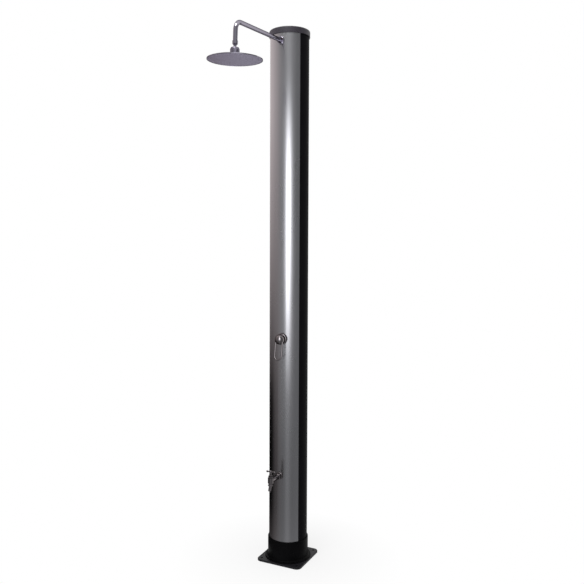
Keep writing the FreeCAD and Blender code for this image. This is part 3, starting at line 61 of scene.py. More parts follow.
class PostFinish(bpy.types.PropertyGroup):
    """Colours and finishes of the post's materials."""

    panel_colour: bpy.props.FloatVectorProperty(
        name="Panel", description="Colour of the anodised front panel", subtype="COLOR",
        size=3, default=(0.42, 0.415, 0.425))
    panel_roughness: bpy.props.FloatProperty(
        name="Panel roughness", description="How dull the anodised panel is", default=0.27,
        min=0.0, max=1.0, subtype="FACTOR")
    tube_colour: bpy.props.FloatVectorProperty(
        name="Column", description="Colour of the black extruded column", subtype="COLOR",
        size=3, default=(0.006, 0.0058, 0.0068))
    collar_colour: bpy.props.FloatVectorProperty(
        name="Collar", description="Colour of the black collar", subtype="COLOR",
        size=3, default=(0.003, 0.003, 0.0034))
    cap_colour: bpy.props.FloatVectorProperty(
        name="Cap", description="Colour of the dark grey cap", subtype="COLOR",
        size=3, default=(0.035, 0.031, 0.04))
    plate_colour: bpy.props.FloatVectorProperty(
        name="Plate", description="Colour of the coated foot plate", subtype="COLOR",
        size=3, default=(0.012, 0.0115, 0.014))
    chrome_colour: bpy.props.FloatVectorProperty(
        name="Chrome", description="Tint of the chromed fittings", subtype="COLOR",
        size=3, default=(0.38, 0.357, 0.415))
    fitting_colour: bpy.props.FloatVectorProperty(
        name="Mixer and tap", description="Tint of the chromed mixer and tap", subtype="COLOR",
        size=3, default=(0.25, 0.228, 0.232))
    face_colour: bpy.props.FloatVectorProperty(
        name="Head face", description="Tint of the rain head's face", subtype="COLOR",
        size=3, default=(0.48, 0.45, 0.56))
    nut_colour: bpy.props.FloatVectorProperty(
        name="Swivel nut", description="Tint of the satin nut over the rain head", subtype="COLOR",
        size=3, default=(0.27, 0.25, 0.31))
    brass_colour: bpy.props.FloatVectorProperty(
        name="Brass", description="Colour of the brass fittings inside", subtype="COLOR",
        size=3, default=(0.62, 0.43, 0.18))
    steel_colour: bpy.props.FloatVectorProperty(
        name="Stainless steel", description="Tint of the screws and the lever's pin",
        subtype="COLOR", size=3, default=(0.5, 0.49, 0.47))
    pipe_colour: bpy.props.FloatVectorProperty(
        name="Pipes", description="Colour of the pipes inside", subtype="COLOR",
        size=3, default=(0.72, 0.72, 0.69))
    nozzle_colour: bpy.props.FloatVectorProperty(
        name="Nozzles", description="Colour of the soft nozzles", subtype="COLOR",
        size=3, default=(0.34, 0.318, 0.39))
    rubber_colour: bpy.props.FloatVectorProperty(
        name="Rubber", description="Colour of the seals", subtype="COLOR",
        size=3, default=(0.02, 0.02, 0.021))


class PostSizes(bpy.types.PropertyGroup):
    """Sizes of the pieces that get their fine detail here."""

    inlet_thread_length: bpy.props.FloatProperty(
        name="Thread length", description="Length of the inlet's threaded stub", default=14 * MM,
        unit="LENGTH")
    inlet_thread_radius: bpy.props.FloatProperty(
        name="Thread radius", description="Radius over the thread's crests", default=10.4 * MM,
        unit="LENGTH")
    thread_pitch: bpy.props.FloatProperty(
        name="Pitch", description="From one crest of the thread to the next", default=1.8 * MM,
        unit="LENGTH")
    thread_turns: bpy.props.IntProperty(
        name="Turns", description="Turns of the thread", default=6, min=1)
    ring_nut_radius: bpy.props.FloatProperty(
        name="Nut radius", description="Radius over the outlet nut's ribs", default=10 * MM,
        unit="LENGTH")
    ring_nut_height: bpy.props.FloatProperty(
        name="Nut height", description="Height of the outlet nut", default=7 * MM, unit="LENGTH")
    ring_nut_bore: bpy.props.FloatProperty(
        name="Nut bore", description="Radius of the outlet nut's bore", default=7.1 * MM,
        unit="LENGTH")
    ring_nut_chamfer: bpy.props.FloatProperty(
        name="Nut chamfer", description="Height of the chamfer at each end of the nut",
        default=0.8 * MM, unit="LENGTH")
    ring_nut_root: bpy.props.FloatProperty(
        name="Groove share", description="Radius of the nut's grooves as a share of its radius",
        default=0.93, min=0.5, max=1.0, subtype="FACTOR")
    ring_nut_shoulder: bpy.props.FloatProperty(
        name="Shoulder share", description="Radius of the nut's end face as a share of its sides'",
        default=0.9, min=0.5, max=1.0, subtype="FACTOR")
    ring_nut_ribs: bpy.props.IntProperty(
        name="Ribs", description="Ribs round the outlet nut", default=20, min=6)
    spout_lean: bpy.props.FloatProperty(
        name="Spout lean", description="How far the tap's outlet leans outwards",
        default=math.radians(18), subtype="ANGLE")


class StudioSettings(bpy.types.PropertyGroup):
    """Camera and light of the studio."""

    camera_distance: bpy.props.FloatProperty(
        name="Camera distance", description="From the column's axis to the camera",
        default=2.923, unit="LENGTH")
    camera_height: bpy.props.FloatProperty(
        name="Camera height", description="Height of the camera over the floor",
        default=1.3612, unit="LENGTH")
    camera_azimuth: bpy.props.FloatProperty(
        name="Camera azimuth", description="Turn of the camera from the post's front",
        default=math.radians(26.28), subtype="ANGLE")
    camera_pitch: bpy.props.FloatProperty(
        name="Camera pitch", description="How far the camera looks down",
        default=math.radians(2.904), subtype="ANGLE")
    camera_roll: bpy.props.FloatProperty(
        name="Camera roll", description="Roll of the camera", default=math.radians(0.208),
        subtype="ANGLE")
    lens: bpy.props.FloatProperty(
        name="Lens", description="Focal length on a 36 mm sensor", default=42.033)
    shift_x: bpy.props.FloatProperty(
        name="Shift X", description="Sideways shift of the picture", default=0.0053)
    shift_y: bpy.props.FloatProperty(
        name="Shift Y", description="Upward shift of the picture", default=-0.022)
    card_distance: bpy.props.FloatProperty(
        name="Card distance", description="From the column's axis to the grey card", default=0.95,
        unit="LENGTH")
    card_left: bpy.props.FloatProperty(
        name="Card's left end", description="Azimuth of the grey card's left end",
        default=math.radians(-132), subtype="ANGLE")
    card_right: bpy.props.FloatProperty(
        name="Card's right end", description="Azimuth of the grey card's right end",
        default=math.radians(110), subtype="ANGLE")
    strip_turn: bpy.props.FloatProperty(
        name="Strip turn", description="Azimuth of the card's bright strip",
        default=math.radians(22.5), subtype="ANGLE")
    strip_width: bpy.props.FloatProperty(
        name="Strip width", description="Half width of the card's bright strip",
        default=math.radians(12.5), subtype="ANGLE")
    strip_glow: bpy.props.FloatProperty(
        name="Strip glow", description="Brightness of the card's strip", default=5.4, min=0.0)
    card_height: bpy.props.FloatProperty(
        name="Card height", description="Height of the grey card", default=2.9, unit="LENGTH")
    card_foot: bpy.props.FloatProperty(
        name="Card's foot", description="How near the post its foot ends, as a share of distance",
        default=0.16, min=0.0, max=1.0, subtype="FACTOR")
    world_strength: bpy.props.FloatProperty(
        name="Surroundings", description="Strength of the soft light from all sides", default=0.55,
        min=0.0)
    front_power: bpy.props.FloatProperty(
        name="Front light", description="Power of the large light before the post", default=30.0,
        unit="POWER")
    top_power: bpy.props.FloatProperty(
        name="Top light", description="Power of the large light over the post", default=60.0,
        unit="POWER")
    floor_colour: bpy.props.FloatVectorProperty(
        name="Floor", description="Colour of the floor", subtype="COLOR", size=3,
        default=(0.86, 0.86, 0.86))


# ------------------------------------------------------------------ shader groups

def new_group(name, inputs, outputs):
    """A shader node group with named sockets: (kind, name, default)."""
    group = bpy.data.node_groups.new(name, "ShaderNodeTree")
    for kind, label, default in inputs:
        socket = group.interface.new_socket(name=label, in_out="INPUT", socket_type=kind)
        if default is not None:
            socket.default_value = default
    for kind, label in outputs:
        group.interface.new_socket(name=label, in_out="OUTPUT", socket_type=kind)
    return group, group.nodes.new("NodeGroupInput"), group.nodes.new("NodeGroupOutput")


def add_node(tree, kind, links=(), **values):
    """A node with its links, and with properties or plain input values given by name."""
    node = tree.nodes.new(kind)
    for key, value in values.items():
        if hasattr(node, key):
            setattr(node, key, value)
        else:
            node.inputs[key.replace("_", " ")].default_value = value
    for target, source in links:
        tree.links.new(source, node.inputs[target])
    return node


def stretched_noise(tree, coordinates, stretch, scale):
    """Noise that is stretched along one axis, as drawn or brushed metal is."""
    mapping = add_node(tree, "ShaderNodeMapping", [("Vector", coordinates)], Scale=stretch)
    return add_node(tree, "ShaderNodeTexNoise", [("Vector", mapping.outputs["Vector"])],
                    Scale=scale, Detail=3.0)


def ramp(tree, source, low, high, out_low, out_high, soft=False):
    """Map a value from one range to another, evenly or with soft ends."""
    node = add_node(tree, "ShaderNodeMapRange", [("Value", source)], From_Min=low, From_Max=high,
                    To_Min=out_low, To_Max=out_high,
                    interpolation_type="SMOOTHSTEP" if soft else "LINEAR")
    return node.outputs["Result"]


def calculate(tree, operation, first, second=None):
    """A Math node whose second value is a number or another node's output."""
    node = add_node(tree, "ShaderNodeMath", [(0, first)], operation=operation)
    if isinstance(second, (int, float)):
        node.inputs[1].default_value = second
    elif second is not None:
        tree.links.new(second, node.inputs[1])
    return node.outputs[0]


def blend(tree, factor, first, second):
    """A Mix node between two values; the second may be a number."""
    node = add_node(tree, "ShaderNodeMix", [(0, factor), (2, first)])
    if isinstance(second, (int, float)):
        node.inputs[3].default_value = second
    else:
        tree.links.new(second, node.inputs[3])
    return node.outputs[0]


def new_surface(name, colour, roughness, third, third_default):
    """An empty surface group with its Object coordinates: colour, roughness and one more value."""
    group, start, end = new_group(
        name,
        [("NodeSocketColor", "Colour", colour), ("NodeSocketFloat", "Roughness", roughness),
         ("NodeSocketFloat", third, third_default)],
        [("NodeSocketColor", "Colour"), ("NodeSocketFloat", "Roughness"),
         ("NodeSocketFloat", "Height")])
    return group, start, end, add_node(group, "ShaderNodeTexCoord").outputs["Object"]


def finish_surface(group, start, end, tone, dulling, height):
    """Shade the group's colour by a tone, dull its roughness and put out a height."""
    colour = add_node(group, "ShaderNodeVectorMath", operation="SCALE",
                      links=[(0, start.outputs["Colour"]), ("Scale", tone)])
    dull = calculate(group, "ADD", start.outputs["Roughness"], dulling)
    group.links.new(colour.outputs["Vector"], end.inputs["Colour"])
    group.links.new(dull, end.inputs["Roughness"])
    group.links.new(height, end.inputs["Height"])
    return group


def build_drawn_grain():
    """Fine lines along the post's height, as on drawn and anodised aluminium."""
    group, start, end, where = new_surface("Drawn grain", (0.2, 0.2, 0.2, 1), 0.3, "Amount", 0.5)
    lines = stretched_noise(group, where, (1.0, 1.0, 0.004), 900.0).outputs["Fac"]
    clouds = stretched_noise(group, where, (1.0, 1.0, 0.3), 9.0).outputs["Fac"]
    shade = calculate(group, "MULTIPLY", ramp(group, lines, 0.3, 0.7, -0.06, 0.06),
                      start.outputs["Amount"])
    return finish_surface(group, start, end, calculate(group, "ADD", shade, 1.0),
                          ramp(group, clouds, 0.3, 0.7, -0.015, 0.03), lines)


def build_moulded_skin():
    """Slight mottle and a fine leathery relief, as on moulded or powder-coated parts."""
    group, start, end, where = new_surface(
        "Moulded skin", (0.02, 0.02, 0.02, 1), 0.4, "Relief scale", 700.0)
    relief = add_node(group, "ShaderNodeTexNoise",
                      [("Vector", where), ("Scale", start.outputs["Relief scale"])])
    clouds = add_node(group, "ShaderNodeTexNoise", [("Vector", where)], Scale=14.0, Detail=5.0)
    return finish_surface(group, start, end,
                          ramp(group, clouds.outputs["Fac"], 0.3, 0.7, 0.88, 1.14),
                          ramp(group, clouds.outputs["Fac"], 0.3, 0.7, -0.04, 0.05),
                          relief.outputs["Fac"])


def build_water_marks():
    """Faint dried water marks, which dull a polished surface in small round spots."""
    group, start, end, where = new_surface("Water marks", (0.6, 0.6, 0.6, 1), 0.05, "Amount", 0.05)
    spots = add_node(group, "ShaderNodeTexVoronoi", [("Vector", where)], Scale=130.0)
    clouds = add_node(group, "ShaderNodeTexNoise", [("Vector", where)], Scale=30.0)
    mask = calculate(group, "MULTIPLY",
                     ramp(group, spots.outputs["Distance"], 0.05, 0.35, 1.0, 0.0),
                     ramp(group, clouds.outputs["Fac"], 0.45, 0.65, 0.0, 1.0))
    return finish_surface(group, start, end, ramp(group, mask, 0.0, 1.0, 1.0, 0.94),
                          calculate(group, "MULTIPLY", mask, start.outputs["Amount"]), mask)


SURFACES = {
    "Drawn grain": build_drawn_grain,
    "Moulded skin": build_moulded_skin,
    "Water marks": build_water_marks,
}


def surface(name):
    """The named surface group, built on first use."""
    return bpy.data.node_groups.get(name) or SURFACES[name]()


# Each finish: its surface group, the setting that holds its colour, its roughness and the group's
# third value, then relief in microns, metallic, gloss and edge tint where they aren't the usual.
FINISHES = {
    "Satin aluminium": dict(skin="Drawn grain", colour="panel_colour", roughness="panel_roughness",
                            third=0.4, relief=1.5, metallic=1.0),
    "Black column": dict(skin="Moulded skin", colour="tube_colour", roughness=0.42, third=600.0,
                         relief=10.0, gloss=0.012),
    "Black moulding": dict(skin="Moulded skin", colour="collar_colour", roughness=0.45, third=900.0,
                           relief=20.0, gloss=0.03),
    "Dark cap": dict(skin="Moulded skin", colour="cap_colour", roughness=0.45, third=900.0,
                     relief=20.0, gloss=0.3),
    "Coated steel": dict(skin="Moulded skin", colour="plate_colour", roughness=0.38, third=500.0,
                         relief=30.0, gloss=0.12),
    "Chrome": dict(skin="Water marks", colour="chrome_colour", roughness=0.11, third=0.05,
                   metallic=1.0, edge=0.1),
    "Fitting chrome": dict(skin="Water marks", colour="fitting_colour", roughness=0.04, third=0.08,
                           metallic=1.0, edge=0.06),
    "Satin chrome": dict(skin="Water marks", colour="face_colour", roughness=0.4, third=0.05,
                         metallic=1.0, edge=0.3),
    "Satin nut chrome": dict(skin="Water marks", colour="nut_colour", roughness=0.26, third=0.05,
                             metallic=1.0, edge=0.1),
    "Cast brass": dict(skin="Moulded skin", colour="brass_colour", roughness=0.35, third=400.0,
                       relief=30.0, metallic=1.0),
    "Stainless steel": dict(skin="Drawn grain", colour="steel_colour", roughness=0.28, third=0.6,
                            relief=3.0, metallic=1.0),
    "Pipe plastic": dict(skin="Moulded skin", colour="pipe_colour", roughness=0.4, third=800.0,
                         relief=10.0),
    "Rubber": dict(skin="Moulded skin", colour="rubber_colour", roughness=0.62, third=1200.0,
                   relief=20.0),
    "Nozzle silicone": dict(skin="Moulded skin", colour="nozzle_colour", roughness=0.5,
                            third=1200.0, relief=10.0),
}


def finish(name):
    """The named material, built on first use."""
    return bpy.data.materials.get(name) or make_material(name, **FINISHES[name])


def make_material(name, skin, colour, roughness, third, relief=0.0, metallic=0.0, gloss=0.5,
                  edge=1.0):
    """A material whose colour, roughness and relief come from one of the surface groups."""
    settings = bpy.context.scene.post_finish
    if isinstance(roughness, str):
        roughness = getattr(settings, roughness)
    material = bpy.data.materials.new(name)
    material.use_nodes = True
    tree = material.node_tree
    shader = tree.nodes["Principled BSDF"]
    shader.inputs["Metallic"].default_value = metallic
    shader.inputs["Specular IOR Level"].default_value = gloss
    shader.inputs["Specular Tint"].default_value = (edge, edge, edge, 1.0)
    group = tree.nodes.new("ShaderNodeGroup")
    group.node_tree = surface(skin)
    group.inputs["Colour"].default_value = (*getattr(settings, colour), 1.0)
    group.inputs["Roughness"].default_value = roughness
    group.inputs[2].default_value = third
    tree.links.new(group.outputs["Colour"], shader.inputs["Base Color"])
    tree.links.new(group.outputs["Roughness"], shader.inputs["Roughness"])
    if relief:
        bump = add_node(tree, "ShaderNodeBump", [("Height", group.outputs["Height"])],
                        Strength=1.0, Distance=relief * MICRON)
        tree.links.new(bump.outputs["Normal"], shader.inputs["Normal"])
    return material


def dress(name, *nodes):
    """Give CAD nodes the named material."""
    for node in nodes:
        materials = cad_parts[node].data.materials
        materials.clear()
        materials.append(finish(name))


# ------------------------------------------------------------------ modelling helpers

def copy_node(node, name):
    """A merged copy of a CAD node, as the start of a piece that takes its place."""
    bpy.ops.object.select_all(action="DESELECT")
    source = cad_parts[node]
    source.select_set(True)
    bpy.context.view_layer.objects.active = source
    bpy.ops.object.duplicate()
    piece = bpy.context.object
    piece.name = name
    bpy.ops.mesh.customdata_custom_splitnormals_clear()
    bpy.ops.object.mode_set(mode="EDIT")
    bpy.ops.mesh.select_all(action="SELECT")
    bpy.ops.mesh.remove_doubles(threshold=2 * MICRON)
    bpy.ops.object.mode_set(mode="OBJECT")
    return piece


def deselect(kind):
    """Select by points, edges or faces from now on, with nothing selected yet."""
    bpy.ops.object.mode_set(mode="EDIT")
    bpy.ops.mesh.select_mode(type=kind)
    bpy.ops.mesh.select_all(action="DESELECT")
    bpy.ops.object.mode_set(mode="OBJECT")


def select_points(piece, wanted):
    """Select the points whose place passes a test, and nothing else."""
    deselect("VERT")
    for vertex in piece.data.vertices:
        vertex.select = wanted(vertex.co)


def select_edges(piece, wanted):
    """Select the edges whose two ends pass a test, and nothing else."""
    deselect("EDGE")
    points = piece.data.vertices
    for edge in piece.data.edges:
        edge.select = wanted([points[index].co for index in edge.vertices])


def scale_about(centre, factors):
    """Scale what is selected in the piece's mesh about a point."""
    bpy.ops.object.mode_set(mode="EDIT")
    bpy.ops.transform.resize(value=factors, center_override=centre)
    bpy.ops.object.mode_set(mode="OBJECT")


def seat(piece, body, slot, *nodes):
    """Let a finished piece move with its body in the place of the CAD nodes it details."""
    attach(piece, body)
    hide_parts(*nodes)


# ------------------------------------------------------------------ operators

class POST_OT_finish_foot(bpy.types.Operator):
    """Coats the foot plate and the collar, and finishes the collar's screws."""

    bl_idname = "post.finish_foot"
    bl_label = "Foot"

    def execute(self, context):
        dress("Coated steel", "base_plate")
        dress("Black moulding", "base_collar")
        dress("Stainless steel", "collar_screws")
        return {"FINISHED"}


class POST_OT_finish_column(bpy.types.Operator):
    """Finishes the black column, its anodised front panel and its cap."""

    bl_idname = "post.finish_column"
    bl_label = "Column, panel and cap"

    def execute(self, context):
        dress("Black column", "tank_column")
        dress("Satin aluminium", "front_panel")
        dress("Dark cap", "top_cap")
        return {"FINISHED"}


class POST_OT_finish_inside(bpy.types.Operator):
    """Finishes the plugs, seals, pipes and fittings inside the column."""

    bl_idname = "post.finish_inside"
    bl_label = "Inside of the column"

    def execute(self, context):
        dress("Black moulding", "bottom_plug", "top_plug")
        dress("Rubber", "bottom_seal", "top_seal")
        dress("Pipe plastic", "cold_pipe", "mixer_feed_pipe", "riser_pipe", "hot_pipe", "ball_seat",
              "mixer_cartridge")
        dress("Cast brass", "inlet_fitting", "pipe_tee", "arm_elbow", "mixer_body", "cartridge_nut")
        dress("Stainless steel", "lever_pin")
        return {"FINISHED"}


class POST_OT_cut_inlet_thread(bpy.types.Operator):
    """Winds a pipe thread on the brass inlet in the column's back."""

    bl_idname = "post.cut_inlet_thread"
    bl_label = "Inlet thread"

    def execute(self, context):
        sizes = context.scene.post_sizes
        low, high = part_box("inlet_fitting")
        axis = Vector((0.0, 0.0, (low.z + high.z) / 2))
        face = high.y - sizes.inlet_thread_length
        crest = sizes.inlet_thread_radius
        root = crest - sizes.thread_pitch / 2
        stub = copy_node("inlet_fitting", "threaded_inlet")

        def on_stub(point):
            away = math.hypot(point.x, point.z - axis.z)
            return point.y > face - 10 * MICRON and crest * 0.85 < away < crest * 1.01

        select_points(stub, on_stub)
        scale_about(axis, (root / crest, 1.0, root / crest))
        ridge = self.wind_ridge(sizes, root)
        ridge.rotation_euler = (-math.pi / 2, 0, 0)
        ridge.location = (0.0, face + sizes.thread_pitch * 0.7, axis.z)
        bpy.ops.object.transform_apply(location=True, rotation=True)
        stub.select_set(True)
        context.view_layer.objects.active = stub
        bpy.ops.object.join()
        bpy.ops.object.shade_smooth_by_angle(angle=SMOOTH_ANGLE)
        stub.data.materials.clear()
        stub.data.materials.append(finish("Cast brass"))
        seat(stub, "post", "brass", "inlet_fitting")
        return {"FINISHED"}

    def wind_ridge(self, sizes, root):
        """A ridge of diamond section wound round the Z axis, closed at both ends."""
        bpy.ops.object.select_all(action="DESELECT")
        bpy.ops.mesh.primitive_circle_add(vertices=4, radius=sizes.thread_pitch / 2,
                                          location=(root, 0, 0), rotation=(math.pi / 2, 0, 0))
        ridge = bpy.context.object
        bpy.ops.object.transform_apply(location=True, rotation=True)
        winding = ridge.modifiers.new("Winding", "SCREW")
        winding.axis = "Z"
        winding.screw_offset = sizes.thread_pitch
        winding.iterations = sizes.thread_turns
        winding.steps = 48
        winding.render_steps = 48
        bpy.ops.object.modifier_apply(modifier="Winding")
        bpy.ops.object.mode_set(mode="EDIT")
        bpy.ops.mesh.select_all(action="SELECT")
        bpy.ops.mesh.remove_doubles(threshold=MICRON)
        bpy.ops.mesh.select_all(action="DESELECT")
        bpy.ops.mesh.select_mode(type="EDGE")
        bpy.ops.mesh.select_non_manifold()
        bpy.ops.mesh.fill()
        bpy.ops.mesh.select_all(action="SELECT")
        bpy.ops.mesh.normals_make_consistent(inside=False)
        bpy.ops.object.mode_set(mode="OBJECT")
        return ridge


class POST_OT_rib_ring_nut(bpy.types.Operator):
    """Shapes the tap's outlet nut with a ribbed grip."""

    bl_idname = "post.rib_ring_nut"
    bl_label = "Ribbed outlet nut"

    def execute(self, context):
        sizes = context.scene.post_sizes
        low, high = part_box("outlet_ring_nut")
        bpy.ops.object.select_all(action="DESELECT")
        bpy.ops.mesh.primitive_cylinder_add(
            vertices=4 * sizes.ring_nut_ribs, radius=sizes.ring_nut_radius,
            depth=sizes.ring_nut_height - 2 * sizes.ring_nut_chamfer, end_fill_type="NOTHING")
        nut = context.object
        nut.name = "ribbed_ring_nut"
        step = math.tau / sizes.ring_nut_ribs

        def in_groove(point):
            turn = (math.atan2(point.y, point.x) / step + 0.125) % 1.0
            return turn > 0.5

        select_points(nut, in_groove)
        scale_about((0, 0, 0), (sizes.ring_nut_root, sizes.ring_nut_root, 1.0))
        bore = sizes.ring_nut_bore
        self.turn_in(nut, sizes, 1, bore)
        self.turn_in(nut, sizes, -1, bore - 0.4 * MM)
        select_edges(nut, lambda ends: all(end.xy.length < bore + 0.1 * MM for end in ends))
        bpy.ops.object.mode_set(mode="EDIT")
        bpy.ops.mesh.bridge_edge_loops()
        bpy.ops.mesh.select_all(action="SELECT")
        bpy.ops.mesh.normals_make_consistent(inside=False)
        bpy.ops.object.mode_set(mode="OBJECT")
        edge = nut.modifiers.new("Broken edges", "BEVEL")
        edge.width = 0.2 * MM
        edge.segments = 2
        edge.limit_method = "ANGLE"
        bpy.ops.object.modifier_apply(modifier="Broken edges")
        nut.rotation_euler = (-sizes.spout_lean, 0, 0)
        nut.location = (low + high) / 2
        bpy.ops.object.transform_apply(location=True, rotation=True)
        bpy.ops.object.shade_smooth_by_angle(angle=SMOOTH_ANGLE)
        nut.data.materials.append(finish("Fitting chrome"))
        seat(nut, "post", "chrome", "outlet_ring_nut")
        return {"FINISHED"}

    def turn_in(self, nut, sizes, side, bore):
        """From the outer rim at one side: a chamfer, then the flat face in to the bore."""
        chamfer, shoulder = sizes.ring_nut_chamfer, sizes.ring_nut_shoulder
        rim = side * (sizes.ring_nut_height / 2 - chamfer)
        select_edges(nut, lambda ends: all(abs(end.z - rim) < 10 * MICRON for end in ends))
        bpy.ops.object.mode_set(mode="EDIT")
        bpy.ops.mesh.extrude_edges_move(
            TRANSFORM_OT_translate={"value": (0, 0, side * chamfer)})
        bpy.ops.transform.resize(value=(shoulder, shoulder, 1.0), center_override=(0, 0, 0))
        bpy.ops.mesh.extrude_edges_move()
        bpy.ops.transform.tosphere(value=1.0)
        bpy.ops.object.mode_set(mode="OBJECT")
        inwards = bore / max(vertex.co.xy.length for vertex in nut.data.vertices if vertex.select)
        scale_about((0, 0, 0), (inwards, inwards, 1.0))


class POST_OT_finish_arm(bpy.types.Operator):
    """Chromes the shower arm, its fittings and the rain head."""

    bl_idname = "post.finish_arm"
    bl_label = "Arm and rain head"

    def execute(self, context):
        dress("Chrome", "arm_rosette", "arm_nut", "shower_arm", "arm_end_nut", "ball_stem",
              "head_shell")
        dress("Satin nut chrome", "swivel_nut")
        dress("Satin chrome", "head_face")
        dress("Nozzle silicone", "nozzle_sheet")
        return {"FINISHED"}


class POST_OT_finish_mixer(bpy.types.Operator):
    """Chromes the mixer's ring and its lever."""

    bl_idname = "post.finish_mixer"
    bl_label = "Mixer"

    def execute(self, context):
        dress("Fitting chrome", "mixer_escutcheon", "lever_handle", "index_plug", "mixer_stalk")
        return {"FINISHED"}


class POST_OT_finish_tap(bpy.types.Operator):
    """Chromes the foot-wash tap, its handle and its hose tail."""

    bl_idname = "post.finish_tap"
    bl_label = "Foot-wash tap"

    def execute(self, context):
        dress("Fitting chrome", "tap_rosette", "tap_body", "outlet_ring_nut", "tap_bonnet",
              "tap_handle", "tap_spindle", "handle_screw", "hose_tail")
        return {"FINISHED"}


